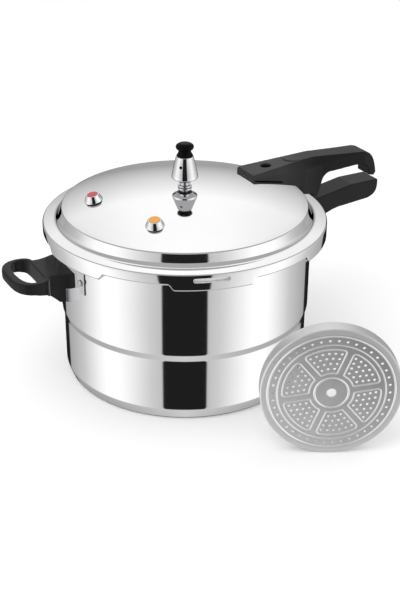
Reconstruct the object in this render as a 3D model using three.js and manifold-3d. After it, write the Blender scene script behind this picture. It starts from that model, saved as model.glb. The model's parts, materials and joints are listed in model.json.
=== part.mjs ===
// Stove-top pressure cooker in polished aluminium, with a six-lug bayonet lid.
// Millimetres, +Z up. The origin is the centre of the pot's base, on the surface it stands on.
// +X runs along the two long handles and -X along the helper handle. The steam rack stands beside the pot.
import * as THREE from "three";
import { mergeVertices } from "three/addons/utils/BufferGeometryUtils.js";
import Module from "manifold-3d";

const wasm = await Module();
wasm.setup();

// Clearances and facets
const GAP = 0.3; // between pieces that seat on each other
const TURN_GAP = 0.6; // between pieces that turn or slide past each other
const ROUND_SIDES = 48; // pot, lid and gasket
const SMALL_SIDES = 14; // nuts, washers and valves
const SCREW_SIDES = 12;
const RIVET_SIDES = 10;
const WEIGHT_SIDES = 24;
const KNOB_SIDES = 20;

// Pot
const POT_RADIUS = 125; // outside, below the step
const POT_STEP = 2; // the wall is this much wider above the step
const POT_WALL = 2.5;
const POT_FLOOR = 3.5;
const POT_HEIGHT = 156; // to the top of the rim
const STEP_HEIGHT = 66; // where the step begins
const STEP_RISE = 7;
const HEEL_INSET = 4; // bevel round the base
const HEEL_HEIGHT = 11;
const RIM_BEAD = 3; // the rim stands out of the wall by this much
const RIM_DEPTH = 5;

// Bayonet: pot lugs and the lid's tabs
const LUG_COUNT = 6;
const LUG_SPAN = 26; // degrees
const LUG_REACH = 10.5; // out of the pot's wall
const LUG_THICKNESS = 4;
const TAB_SPAN = 32; // degrees
const TAB_DROP = 6; // the tabs hang this much below the rest of the skirt
const BAYONET_PHASE = 13.5; // degrees from the handles to the first lug

// Lid
const LID_SHEET = 3;
const SKIRT_PLAY = 2; // radial, between the lugs and the skirt
const FLANGE_FALL = 2; // the flange slopes down by this much towards the skirt
const WALL_STAND_OFF = 1; // the lid's wall starts this far outside the pot's wall
const WALL_LEAN = 4.5; // and leans in by this much
const WALL_HEIGHT = 11;
const CROWN_RISE = 17;
const CROWN_STEPS = 5;
const WINDOW_SPAN = 14; // degrees, the gasket's blow-out window in one tab
const WINDOW_HEIGHT = 4.6;
const WINDOW_TAB = 4; // the tab that has the window
const WINDOW_SHIFT = -1; // degrees from the middle of its tab
const GASKET_HEIGHT = 5.4;
const GASKET_LIP = 1.8;
const GASKET_WEB = 4;

// Vent pipe and its regulator weight
const PIPE_RADIUS = 4.6;
const PIPE_BORE = 1.6;
const PIPE_HEIGHT = 17; // above the crown
const PIPE_TAIL = 12; // below the top of the crown
const COLLAR_RADIUS = 7;
const COLLAR_HEIGHT = 2;
const NUT_RADIUS = 9.5; // across corners
const NUT_HEIGHT = 5;
const WASHER_THICKNESS = 1.6;
const WASHER_RADIUS = 9;
const FILTER_WALL = 1;
const FILTER_DEPTH = 12;
const FILTER_SLOTS = 6;
const WEIGHT_LIFT = 6; // its lower face above the crown
const WEIGHT_HEIGHT = 26;
const WEIGHT_RADIUS = 13.3;
const WEIGHT_TOP_RADIUS = 8.7;
const WEIGHT_FOOT_RADIUS = 8;
const WEIGHT_FLARE = 3.4; // height of the flare from the foot to the widest ring
const WEIGHT_BAND = 2.4; // height of the widest ring
const WEIGHT_JETS = 3;
const JET_RADIUS = 1.3;
const JET_HEIGHT = 17; // above the weight's foot
const JET_PHASE = 221; // degrees
const NEEDLE_LENGTH = 7;
const NEEDLE_RADIUS = 2.6;
const KNOB_STUD_RADIUS = 2.5;
const KNOB_STUD_HEIGHT = 7;
const KNOB_HEIGHT = 13;
const KNOB_RADIUS = 9;
const KNOB_NECK_RADIUS = 6;

// Safety valves on the crown
const VALVE_INSET = 32; // from the crown's edge
const VALVE_ANGLES = { red: 168.7, yellow: 225.1 }; // degrees
const VALVE_BORE = 2.4;
const VALVE_SHANK_RADIUS = 4.6;
const VALVE_NUT_RADIUS = 9.2;
const VALVE_NUT_FOOT = 6.4;
const VALVE_NUT_TOP = 6.4;
const VALVE_NUT_HEIGHT = 11.4;
const VALVE_NUT_BELLY = 4.3; // height of the widest ring
const VALVE_SHANK_HEIGHT = 5.6;
const VALVE_HEAD_RADIUS = 8.5; // across corners
const VALVE_HEAD_HEIGHT = 3.6;
const PLUG_RADIUS = 5.3;
const PLUG_DOME = 0.8;

// Lid handle
const TONGUE_LENGTH = 54; // from the crown's edge in over the crown
const TONGUE_HEIGHT = 9.4; // at its tip
const TONGUE_WIDTH = 34;
const TONGUE_CORNER = 5; // cut off each corner of the tip
const HANDLE_WIDTH = 25;
const HANDLE_REACH = 85; // past the skirt
const GRIP_RISE = 6; // the grip's top above the tongue's tip
const GRIP_FALL = 5; // from there to the grip's end
const GRIP_THICKNESS = 19; // at the neck
const GRIP_TOP_WIDTH = 19.6; // of its flat top face
const FLANK_LEAN = 3; // height of the leaning flanks at the tip
const SHOULDER_LEAN = 9; // and at the shoulder
const SLIT_LENGTH = 35; // in both flanks of the tongue, from its tip
const SLIT_HEIGHT = 1.1;
const SLIT_DEPTH = 1.5;
const SLIT_LIFT = 2.2; // above the crown
const NECK_THICKNESS = 12; // past the skirt
const HOOK_THICKNESS = 10;
const HOOK_GAP = 3.5; // between the hook and the pot's handle
const SEAT_LENGTH = 30; // riveted seat under the tongue
const SEAT_WIDTH = 18;
const SEAT_HEIGHT = 4; // at its inner end
const SEAT_START = 9; // from the tongue's tip
const RIVET_RADIUS = 2;
const RIVET_HEAD_RADIUS = 3.6;
const RIVET_HEAD_HEIGHT = 1.4;
const RIVET_INSET = 5; // from the ends of the seat
const SCREW_RADIUS = 2;
const SCREW_HEAD_RADIUS = 4;
const SCREW_HEAD_HEIGHT = 2.6;
const SCREW_RECESS = 3; // the head lies this deep
const BADGE_RADIUS = 8.5; // plain raised disc on the tongue
const BADGE_HEIGHT = 0.6;
const BADGE_INSET = 18.5; // from the skirt

// Pot handles and their brackets
const POT_HANDLE_LIFT = 19; // the grip's top above the lid's tabs
const POT_GRIP_THICKNESS = 20;
const POT_HANDLE_ROOT_DEPTH = 24;
const BRACKET_SHEET = 2;
const BRACKET_SPAN = 29; // degrees
const BRACKET_HEIGHT = 22;
const BRACKET_TONGUE = 20; // out of its plate
const BRACKET_TONGUE_WIDTH = 14;
const BRACKET_TONGUE_THICKNESS = 5;
const BRACKET_RIVET_ANGLE = 11.6; // degrees either side
const HELPER_DROP = 9; // its top lies this much below the other root's
const HELPER_REACH = 65; // past the pot's wall
const HELPER_ROOT_WIDTH = 52;
const HELPER_NECK_WIDTH = 42;
const HELPER_LOOP_WIDTH = 64;
const HELPER_LOOP_LENGTH = 36;
const HELPER_THICKNESS = 11.5; // of the loop
const HELPER_ROOT_DEPTH = 29;
const HELPER_ROOT_LENGTH = 15;
const HELPER_HOLE_LENGTH = 22;
const HELPER_HOLE_WIDTH = 53;
const HELPER_RIM = 10; // round the outer end of the hole

// Steam rack, a perforated stamping on a turned rim
const RACK_RADIUS = 65;
const RACK_SHEET = 1.2;
const RACK_RIM_HEIGHT = 15;
const RACK_BEAD = 1.2; // height of the stamped beads
const RACK_BEAD_WIDTH = 2;
const RACK_BEAD_RADII = [58, 49.5, 15.5];
const RACK_EDGE_HOLES = 42;
const RACK_EDGE_HOLES_RADIUS = 53.4;
const RACK_HOLE_RADIUS = 1.2;
const RACK_HOLE_SIDES = 5;
const RACK_BEAD_SIDES = 32;
const RACK_CENTRE_HOLE = 4.6;
const RACK_SECTORS = 6;
const RACK_SECTOR_ROWS = [
  { radius: 25, holes: 3 },
  { radius: 30.3, holes: 4 },
  { radius: 35.4, holes: 5 },
  { radius: 40.5, holes: 6 },
];
const RACK_HOLE_PITCH = 5.8; // along a row
const RACK_SECTOR_INNER = 20.5;
const RACK_SECTOR_OUTER = 45;
const RACK_HALF_SPOKE = 3.2; // between a sector and the middle of a spoke
const RACK_PHASE = 40; // degrees, the first sector's middle
const RACK_PLACE = { x: 34.5, y: -221 }; // on the surface the pot stands on
const RACK_FACING = 243; // degrees, where its upper face looks

// Heights and radii that follow
const potUpperRadius = POT_RADIUS + POT_STEP;
const rimRadius = potUpperRadius + RIM_BEAD;
const lugRadius = potUpperRadius + LUG_REACH;
const lugBottom = POT_HEIGHT - LUG_THICKNESS;
const gasketBottom = POT_HEIGHT + GAP;
const gasketTop = gasketBottom + GASKET_HEIGHT;
const flangeUnder = gasketTop + GAP;
const flangeEdge = flangeUnder + LID_SHEET;
const flangeRoot = flangeEdge + FLANGE_FALL;
const skirtInner = lugRadius + SKIRT_PLAY;
const skirtRadius = skirtInner + LID_SHEET;
const wallRadius = potUpperRadius + WALL_STAND_OFF;
const crownRadius = wallRadius - WALL_LEAN;
const crownEdge = flangeRoot + WALL_HEIGHT;
const apex = crownEdge + CROWN_RISE;
const crownSphere = (crownRadius ** 2 + CROWN_RISE ** 2) / (2 * CROWN_RISE);
const valveRadius = crownRadius - VALVE_INSET;
const lipTop = lugBottom - TURN_GAP;
const lipBottom = lipTop - LID_SHEET;
const lipInner = rimRadius + TURN_GAP;
const skirtEdge = lipBottom + TAB_DROP;
const tongueTip = crownRadius - TONGUE_LENGTH;
const tongueTop = crownHeight(tongueTip) + TONGUE_HEIGHT;
const gripTop = tongueTop + GRIP_RISE;
const handleEnd = skirtRadius + HANDLE_REACH;
const potGripTop = lipBottom + POT_HANDLE_LIFT;
const rootTop = lipBottom - TURN_GAP;
const potSide = { degrees: 0, drop: 0 };
const helperSide = { degrees: 180, drop: HELPER_DROP };

// Finishes
const finishes = {
  polish: { color: 0xe4e5e8, roughness: 0.12, metalness: 1 },
  satin: { color: 0xb4b5b8, roughness: 0.42, metalness: 1 },
  chrome: { color: 0xeeeff2, roughness: 0.06, metalness: 1 },
  steel: { color: 0xc8c9cc, roughness: 0.3, metalness: 1 },
  brass: { color: 0xc8a860, roughness: 0.3, metalness: 1 },
  bakelite: { color: 0x181818, roughness: 0.42, metalness: 0 },
  gasket: { color: 0xe8e8e4, roughness: 0.6, metalness: 0 },
  rubber: { color: 0x303030, roughness: 0.8, metalness: 0 },
  red: { color: 0xc83c46, roughness: 0.5, metalness: 0 },
  yellow: { color: 0xf0a83c, roughness: 0.5, metalness: 0 },
};

// Height of the crown's outside at a distance from the axis.
function crownHeight(radius) {
  return apex - crownSphere + Math.sqrt(crownSphere ** 2 - radius ** 2);
}

// A closed geometry as a manifold solid, with its faces turned outwards.
function solid(geometry) {
  const bare = geometry.index ? geometry.toNonIndexed() : geometry.clone();
  bare.deleteAttribute("normal");
  bare.deleteAttribute("uv");
  const merged = mergeVertices(bare, 1e-4);
  const vertProperties = merged.attributes.position.array;
  const corners = Array.from(merged.index.array);
  const triVerts = [];
  let volume = 0;
  const a = new THREE.Vector3();
  const b = new THREE.Vector3();
  const c = new THREE.Vector3();
  for (let i = 0; i < corners.length; i += 3) {
    const [p, q, r] = corners.slice(i, i + 3);
    if (p === q || q === r || p === r) continue;
    a.fromArray(vertProperties, 3 * p);
    b.fromArray(vertProperties, 3 * q);
    c.fromArray(vertProperties, 3 * r);
    volume += a.dot(b.cross(c));
    triVerts.push(p, q, r);
  }
  if (volume < 0) triVerts.reverse();
  return new wasm.Manifold(
    new wasm.Mesh({ numProp: 3, vertProperties, triVerts: new Uint32Array(triVerts) }),
  );
}

// A manifold solid back as a geometry.
function geometryOf(made) {
  const mesh = made.getMesh();
  const geometry = new THREE.BufferGeometry();
  geometry.setAttribute("position", new THREE.BufferAttribute(mesh.vertProperties, 3));
  geometry.setIndex(new THREE.BufferAttribute(mesh.triVerts, 1));
  geometry.computeVertexNormals();
  return geometry;
}

function joined(...solids) {
  return solids.reduce((sum, next) => sum.add(next));
}

function cut(from, ...tools) {
  return tools.reduce((left, tool) => left.subtract(tool), from);
}

// Revolves [radius, height] points round Z. A ring repeats its first point.
function revolve(points, sides = SMALL_SIDES) {
  const profile = points.map(([radius, height]) => new THREE.Vector2(radius, height));
  return solid(new THREE.LatheGeometry(profile, sides).rotateX(Math.PI / 2));
}

function ring(points, sides = SMALL_SIDES) {
  return revolve([...points, points[0]], sides);
}

function rod(radius, bottom, top, sides = SMALL_SIDES) {
  const middle = (bottom + top) / 2;
  const cylinder = new THREE.CylinderGeometry(radius, radius, top - bottom, sides);
  return solid(cylinder.rotateX(Math.PI / 2).translate(0, 0, middle));
}

function block(low, high) {
  const size = high.map((value, i) => value - low[i]);
  const middle = high.map((value, i) => (value + low[i]) / 2);
  return solid(new THREE.BoxGeometry(...size).translate(...middle));
}

// An outline in X and Y, extruded from one height to another.
function slab(shape, bottom, top, curveSegments = 6) {
  const settings = { depth: top - bottom, bevelEnabled: false, curveSegments };
  return solid(new THREE.ExtrudeGeometry(shape, settings).translate(0, 0, bottom));
}

// An outline in X and Z, extruded along Y to both sides of the middle plane.
function sidePiece(shape, width, curveSegments = 6) {
  const settings = { depth: width, bevelEnabled: false, curveSegments };
  const geometry = new THREE.ExtrudeGeometry(shape, settings).rotateX(Math.PI / 2);
  return solid(geometry.translate(0, width / 2, 0));
}

// A piece of a round wall: an annular sector, its angles in degrees.
function wallPiece(inner, outer, middle, span, bottom, top, steps = 4) {
  const shape = new THREE.Shape();
  const corner = (radius, angle) => [radius * Math.cos(angle), radius * Math.sin(angle)];
  const start = THREE.MathUtils.degToRad(middle - span / 2);
  const step = THREE.MathUtils.degToRad(span) / steps;
  shape.moveTo(...corner(inner, start));
  for (let i = 0; i <= steps; i++) shape.lineTo(...corner(outer, start + i * step));
  for (let i = steps; i > 0; i--) shape.lineTo(...corner(inner, start + i * step));
  shape.closePath();
  return slab(shape, bottom, top);
}

function moved(made, x, y, z) {
  return made.translate([x, y, z]);
}

function turned(made, degrees) {
  return made.rotate([0, 0, degrees]);
}

function mesh(name, made, finish) {
  const material = new THREE.MeshStandardMaterial(finishes[finish]);
  const piece = new THREE.Mesh(geometryOf(made), material);
  piece.name = name;
  return piece;
}

// The angles of the lugs and tabs, in degrees.
function bayonetAngles() {
  return Array.from({ length: LUG_COUNT }, (_, i) => BAYONET_PHASE + (360 / LUG_COUNT) * i);
}

// A place on the crown, its local Z square to the surface and X running outwards.
function crownFrame(radius, degrees) {
  const frame = new THREE.Group();
  const angle = THREE.MathUtils.degToRad(degrees);
  frame.position.set(radius * Math.cos(angle), radius * Math.sin(angle), crownHeight(radius));
  frame.rotation.set(0, Math.asin(radius / crownSphere), angle, "ZYX");
  frame.updateMatrix();
  return frame;
}

// Pot: spun shell with a step in its wall, a bevelled heel and lugs round the rim.
function potShell() {
  const innerLower = POT_RADIUS - POT_WALL;
  const innerUpper = potUpperRadius - POT_WALL;
  const stepTop = STEP_HEIGHT + STEP_RISE;
  const rimUnder = POT_HEIGHT - RIM_DEPTH;
  const shell = revolve(
    [
      [0, 0],
      [POT_RADIUS - HEEL_INSET - 2, 0],
      [POT_RADIUS - HEEL_INSET, 0.8],
      [POT_RADIUS, HEEL_HEIGHT],
      [POT_RADIUS, STEP_HEIGHT],
      [potUpperRadius, stepTop],
      [potUpperRadius, rimUnder - RIM_BEAD],
      [rimRadius, rimUnder],
      [rimRadius, POT_HEIGHT],
      [innerUpper, POT_HEIGHT],
      [innerUpper, stepTop],
      [innerLower, STEP_HEIGHT],
      [innerLower, HEEL_HEIGHT + POT_FLOOR],
      [innerLower - HEEL_INSET, POT_FLOOR],
      [0, POT_FLOOR],
    ],
    ROUND_SIDES,
  );
  const lugs = bayonetAngles().map((angle) =>
    wallPiece(potUpperRadius, lugRadius, angle, LUG_SPAN, lugBottom, POT_HEIGHT),
  );
  const holes = [potSide, helperSide].flatMap(({ degrees, drop }) =>
    [-1, 1].map((hand) => bracketRivetHole(degrees + hand * BRACKET_RIVET_ANGLE, drop)),
  );
  return mesh("pot_shell", cut(joined(shell, ...lugs), ...holes), "polish");
}

// Height of a bracket's middle. A drop lowers it.
function bracketMiddle(drop) {
  return rootTop - BRACKET_HEIGHT / 2 - GAP - drop;
}

// A piece made along Z, laid outwards through the pot's wall at an angle.
function throughWall(made, degrees, drop) {
  const outward = made.rotate([0, 90, 0]);
  return turned(outward, degrees).translate([0, 0, bracketMiddle(drop)]);
}

function bracketRivetHole(degrees, drop) {
  const reach = potUpperRadius + BRACKET_SHEET + RIVET_HEAD_HEIGHT;
  const hole = rod(RIVET_RADIUS + GAP, potUpperRadius - 3 * POT_WALL, reach, RIVET_SIDES);
  return throughWall(hole, degrees, drop);
}

function bracketRivet(name, degrees, drop) {
  const inside = (potUpperRadius - POT_WALL) * Math.cos(Math.PI / ROUND_SIDES) - GAP;
  const outside = potUpperRadius + BRACKET_SHEET + 3 * GAP;
  const head = RIVET_HEAD_RADIUS * 0.6;
  const rivet = revolve(
    [
      [0, inside - RIVET_HEAD_HEIGHT],
      [head, inside - RIVET_HEAD_HEIGHT],
      [RIVET_HEAD_RADIUS, inside],
      [RIVET_RADIUS, inside],
      [RIVET_RADIUS, outside],
      [RIVET_HEAD_RADIUS, outside],
      [head, outside + RIVET_HEAD_HEIGHT],
      [0, outside + RIVET_HEAD_HEIGHT],
    ],
    RIVET_SIDES,
  );
  return mesh(name, throughWall(rivet, degrees, drop), "satin");
}

// A curved plate on the pot's wall with a flat tongue that runs into the handle.
function handleBracket(name, { degrees, drop }) {
  const inner = potUpperRadius + GAP;
  const outer = inner + BRACKET_SHEET;
  const middle = bracketMiddle(drop);
  const top = middle + BRACKET_HEIGHT / 2;
  const plate = wallPiece(inner, outer, 0, BRACKET_SPAN, middle - BRACKET_HEIGHT / 2, top, 6);
  const half = BRACKET_TONGUE_THICKNESS / 2;
  const tongue = block(
    [inner + BRACKET_SHEET / 2, -BRACKET_TONGUE_WIDTH / 2, middle - half],
    [outer + BRACKET_TONGUE, BRACKET_TONGUE_WIDTH / 2, middle + half],
  );
  const holes = [-1, 1].map((hand) => bracketRivetHole(hand * BRACKET_RIVET_ANGLE, drop));
  const screwHole = rod(SCREW_RADIUS + GAP, middle - half - 1, middle + half + 1, RIVET_SIDES);
  const made = cut(joined(plate, tongue), ...holes, moved(screwHole, bracketScrewX(), 0, 0));
  return mesh(name, turned(made, degrees), "steel");
}

function bracketScrewX() {
  return potUpperRadius + BRACKET_SHEET + BRACKET_TONGUE * 0.65;
}

// The slot and the screw hole that a pot handle's root needs for its bracket.
function bracketSocket(drop) {
  const middle = bracketMiddle(drop);
  const half = BRACKET_TONGUE_THICKNESS / 2 + GAP;
  const width = BRACKET_TONGUE_WIDTH / 2 + GAP;
  const outer = potUpperRadius + GAP + BRACKET_SHEET;
  const below = middle - 2 * HELPER_ROOT_DEPTH;
  const slot = block(
    [outer - BRACKET_SHEET, -width, middle - half],
    [outer + BRACKET_TONGUE + GAP, width, middle + half],
  );
  const clear = rod(SCREW_RADIUS + GAP, below, middle + half + 2, RIVET_SIDES);
  const recess = rod(SCREW_HEAD_RADIUS + GAP, below, screwHeadTop(drop) + GAP);
  return joined(slot, moved(joined(clear, recess), bracketScrewX(), 0, 0));
}

function screwHeadTop(drop) {
  return bracketMiddle(drop) - BRACKET_TONGUE_THICKNESS / 2 - 4;
}

function bracketScrew(name, { degrees, drop }) {
  const top = bracketMiddle(drop) + BRACKET_TONGUE_THICKNESS / 2 + 1.5;
  const under = screwHeadTop(drop);
  const shape = revolve(
    [
      [0, under - SCREW_HEAD_HEIGHT],
      [SCREW_HEAD_RADIUS * 0.8, under - SCREW_HEAD_HEIGHT],
      [SCREW_HEAD_RADIUS, under],
      [SCREW_RADIUS, under],
      [SCREW_RADIUS, top],
      [0, top],
    ],
    SCREW_SIDES,
  );
  return mesh(name, turned(moved(shape, bracketScrewX(), 0, 0), degrees), "steel");
}

// The long handle on the pot lies right under the lid's handle.
function potHandle() {
  const inner = potUpperRadius + BRACKET_SHEET + 2 * GAP + RIVET_HEAD_HEIGHT;
  const rootBottom = rootTop - POT_HANDLE_ROOT_DEPTH;
  const past = skirtRadius + TURN_GAP;
  const gripBottom = potGripTop - POT_GRIP_THICKNESS;
  const rise = potGripTop - rootTop;
  const outline = new THREE.Shape();
  outline.moveTo(inner, rootBottom);
  outline.lineTo(inner + 8, rootBottom);
  outline.quadraticCurveTo(past + 12, gripBottom - 8, past + HANDLE_REACH * 0.4, gripBottom - 3.5);
  outline.lineTo(handleEnd - 12, gripBottom);
  outline.quadraticCurveTo(handleEnd, gripBottom + 3, handleEnd, potGripTop - 7);
  outline.lineTo(handleEnd, potGripTop);
  outline.lineTo(past + HANDLE_REACH * 0.6, potGripTop - 0.5);
  outline.lineTo(past + 9, rootTop + rise * 0.58);
  outline.lineTo(past + 1.5, rootTop + rise * 0.42);
  outline.lineTo(past, rootTop);
  outline.lineTo(inner, rootTop);
  outline.closePath();
  const side = sidePiece(outline, HANDLE_WIDTH + 2);
  return mesh("pot_handle", cut(side, bracketSocket(potSide.drop)), "bakelite");
}

// The short handle on the far side: a thick root, a neck and a wide flat loop for the fingers.
function helperHandle() {
  const { degrees, drop } = helperSide;
  const inner = potUpperRadius + BRACKET_SHEET + 2 * GAP + RIVET_HEAD_HEIGHT;
  const end = potUpperRadius + HELPER_REACH;
  const top = rootTop - drop;
  const loopBottom = top - HELPER_THICKNESS;
  const rootBottom = top - HELPER_ROOT_DEPTH;
  const rootEnd = inner + HELPER_ROOT_LENGTH;
  const loopStart = end - HELPER_LOOP_LENGTH;
  const profile = new THREE.Shape();
  profile.moveTo(inner, rootBottom);
  profile.lineTo(rootEnd, rootBottom);
  profile.quadraticCurveTo(loopStart - 2, loopBottom - 10, loopStart + 6, loopBottom - 3);
  profile.lineTo(loopStart + 18, loopBottom);
  profile.lineTo(end - 6, loopBottom + 1);
  profile.quadraticCurveTo(end, loopBottom + 2, end, top - 5);
  profile.quadraticCurveTo(end, top, end - 5, top);
  profile.lineTo(inner, top);
  profile.closePath();

  const halfRoot = HELPER_ROOT_WIDTH / 2;
  const halfNeck = HELPER_NECK_WIDTH / 2;
  const halfLoop = HELPER_LOOP_WIDTH / 2;
  const widest = loopStart + HELPER_LOOP_LENGTH * 0.4;
  const plan = new THREE.Shape();
  plan.moveTo(inner, -halfRoot);
  plan.lineTo(inner + 5, -halfRoot);
  plan.quadraticCurveTo(rootEnd + 2, -halfNeck, loopStart, -halfNeck - 1);
  plan.quadraticCurveTo(loopStart + 1, -halfLoop, widest, -halfLoop);
  plan.bezierCurveTo(end - 7, -halfLoop, end, -halfLoop * 0.6, end, 0);
  plan.bezierCurveTo(end, halfLoop * 0.6, end - 7, halfLoop, widest, halfLoop);
  plan.quadraticCurveTo(loopStart + 1, halfLoop, loopStart, halfNeck + 1);
  plan.quadraticCurveTo(rootEnd + 2, halfNeck, inner + 5, halfRoot);
  plan.lineTo(inner, halfRoot);
  plan.closePath();

  const holeEnd = end - HELPER_RIM;
  const holeStart = holeEnd - HELPER_HOLE_LENGTH;
  const holeMiddle = (holeStart + holeEnd) / 2;
  const halfHole = HELPER_HOLE_WIDTH / 2;
  const hole = new THREE.Shape();
  hole.moveTo(holeStart, -halfHole * 0.72);
  hole.quadraticCurveTo(holeStart + 1, -halfHole, holeMiddle - 2, -halfHole);
  hole.bezierCurveTo(holeEnd - 3, -halfHole, holeEnd, -halfHole * 0.55, holeEnd, 0);
  hole.bezierCurveTo(holeEnd, halfHole * 0.55, holeEnd - 3, halfHole, holeMiddle - 2, halfHole);
  hole.quadraticCurveTo(holeStart + 1, halfHole, holeStart, halfHole * 0.72);
  hole.closePath();

  const side = sidePiece(profile, 2 * HELPER_LOOP_WIDTH);
  const outer = slab(plan, rootBottom - 1, top + 1);
  const opening = slab(hole, rootBottom - 1, top + 1, 5);
  const made = cut(side.intersect(outer), opening, bracketSocket(drop));
  return mesh("helper_handle", turned(made, degrees), "bakelite");
}

// Lid: domed crown, leaning wall, flange and a skirt with six tabs that reach in under the pot's lugs.
function lidShell() {
  const inner = crownSphere - LID_SHEET;
  const innerEdge = crownRadius - LID_SHEET;
  const crownCentre = apex - crownSphere;
  const under = [];
  const over = [];
  for (let i = 0; i <= CROWN_STEPS; i++) {
    const share = i / CROWN_STEPS;
    const low = innerEdge * share;
    const high = crownRadius * (1 - share);
    under.push([low, crownCentre + Math.sqrt(inner ** 2 - low ** 2)]);
    over.push([high, crownHeight(high)]);
  }
  const innerWall = wallRadius - LID_SHEET - 0.5;
  const edgeRound = 1.2;
  const shell = revolve(
    [
      ...under,
      [innerWall, flangeUnder],
      [skirtInner, flangeUnder],
      [skirtInner, skirtEdge],
      [skirtRadius, skirtEdge],
      [skirtRadius, flangeEdge - edgeRound],
      [skirtRadius - edgeRound, flangeEdge],
      [wallRadius + 1.5, flangeRoot],
      [wallRadius, flangeRoot + 1.5],
      ...over,
    ],
    ROUND_SIDES,
  );
  const tabs = bayonetAngles().flatMap((angle) => [
    wallPiece(skirtInner, skirtRadius, angle, TAB_SPAN, lipBottom, skirtEdge + LID_SHEET, 4),
    wallPiece(lipInner, skirtRadius, angle, TAB_SPAN, lipBottom, lipTop, 4),
  ]);
  const windowAngle = bayonetAngles()[WINDOW_TAB] + WINDOW_SHIFT;
  const windowTop = flangeUnder - GAP;
  const window = wallPiece(
    skirtInner - 1,
    skirtRadius + 1,
    windowAngle,
    WINDOW_SPAN,
    windowTop - WINDOW_HEIGHT,
    windowTop,
  );
  const holes = [rod(PIPE_RADIUS + GAP, crownEdge, apex + 1)];
  for (const degrees of Object.values(VALVE_ANGLES)) {
    const hole = rod(VALVE_SHANK_RADIUS + GAP, -2 * LID_SHEET, LID_SHEET);
    holes.push(hole.transform(crownFrame(valveRadius, degrees).matrix.elements));
  }
  for (const x of seatRivets()) {
    holes.push(moved(rod(RIVET_RADIUS + GAP, crownEdge, apex, RIVET_SIDES), x, 0, 0));
  }
  return mesh("lid_shell", cut(joined(shell, ...tabs), window, ...holes), "polish");
}

// Silicone ring of C section between the pot's rim and the lid's flange.
function gasket() {
  const outer = skirtInner - TURN_GAP;
  const inner = wallRadius - LID_SHEET + GAP;
  const web = outer - GASKET_WEB;
  const section = [
    [inner, gasketTop],
    [inner, gasketTop - GASKET_LIP],
    [web, gasketTop - GASKET_LIP],
    [web, gasketBottom + GASKET_LIP],
    [inner + 1, gasketBottom + GASKET_LIP],
    [inner + 1, gasketBottom],
    [outer, gasketBottom],
    [outer, gasketTop],
  ];
  return mesh("sealing_gasket", ring(section, ROUND_SIDES), "gasket");
}

// Height of the crown's underside near the axis.
function crownUnder() {
  return apex - LID_SHEET;
}

// Vent pipe: collar on the crown, thread through it, and a nut, washer and filter below.
function ventPipe() {
  const bottom = apex - PIPE_TAIL;
  const top = apex + PIPE_HEIGHT;
  const collarFoot = apex + GAP;
  const collarTop = collarFoot + COLLAR_HEIGHT;
  return mesh(
    "vent_pipe",
    ring([
      [PIPE_BORE, bottom],
      [PIPE_RADIUS, bottom],
      [PIPE_RADIUS, collarFoot],
      [COLLAR_RADIUS, collarFoot],
      [COLLAR_RADIUS, collarTop],
      [PIPE_RADIUS, collarTop],
      [PIPE_RADIUS, top - 1],
      [PIPE_RADIUS - 1, top],
      [NEEDLE_RADIUS, top],
      [PIPE_BORE, top - 1.5],
    ]),
    "steel",
  );
}

function ventWasher() {
  const top = crownUnder() - GAP;
  return mesh("vent_pipe_washer", washerRing(PIPE_RADIUS, top), "rubber");
}

function washerRing(shankRadius, top) {
  const hole = shankRadius + GAP;
  return ring([
    [hole, top - WASHER_THICKNESS],
    [WASHER_RADIUS, top - WASHER_THICKNESS],
    [WASHER_RADIUS, top],
    [hole, top],
  ]);
}

function ventNut() {
  const top = crownUnder() - WASHER_THICKNESS - 2 * GAP;
  const hexagon = rod(NUT_RADIUS, top - NUT_HEIGHT, top, 6);
  return mesh("vent_pipe_nut", cut(hexagon, rod(PIPE_RADIUS + GAP, top - NUT_HEIGHT - 1, top + 1)), "brass");
}

// A slotted cap that clips over the nut and keeps food out of the pipe.
function ventFilter() {
  const inner = NUT_RADIUS + GAP;
  const outer = inner + FILTER_WALL;
  const top = crownUnder() - WASHER_THICKNESS - 2 * GAP;
  const bottom = top - FILTER_DEPTH;
  const cup = revolve([
    [0, bottom],
    [outer - 1, bottom],
    [outer, bottom + 1],
    [outer, top],
    [inner, top],
    [inner, bottom + FILTER_WALL],
    [0, bottom + FILTER_WALL],
  ]);
  const slots = Array.from({ length: FILTER_SLOTS }, (_, i) => {
    const slot = block([inner / 3, -1, bottom - 1], [outer + 1, 1, bottom + FILTER_DEPTH / 3]);
    return turned(slot, (360 / FILTER_SLOTS) * i);
  });
  return mesh("vent_filter_cap", cut(cup, ...slots), "steel");
}

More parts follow.
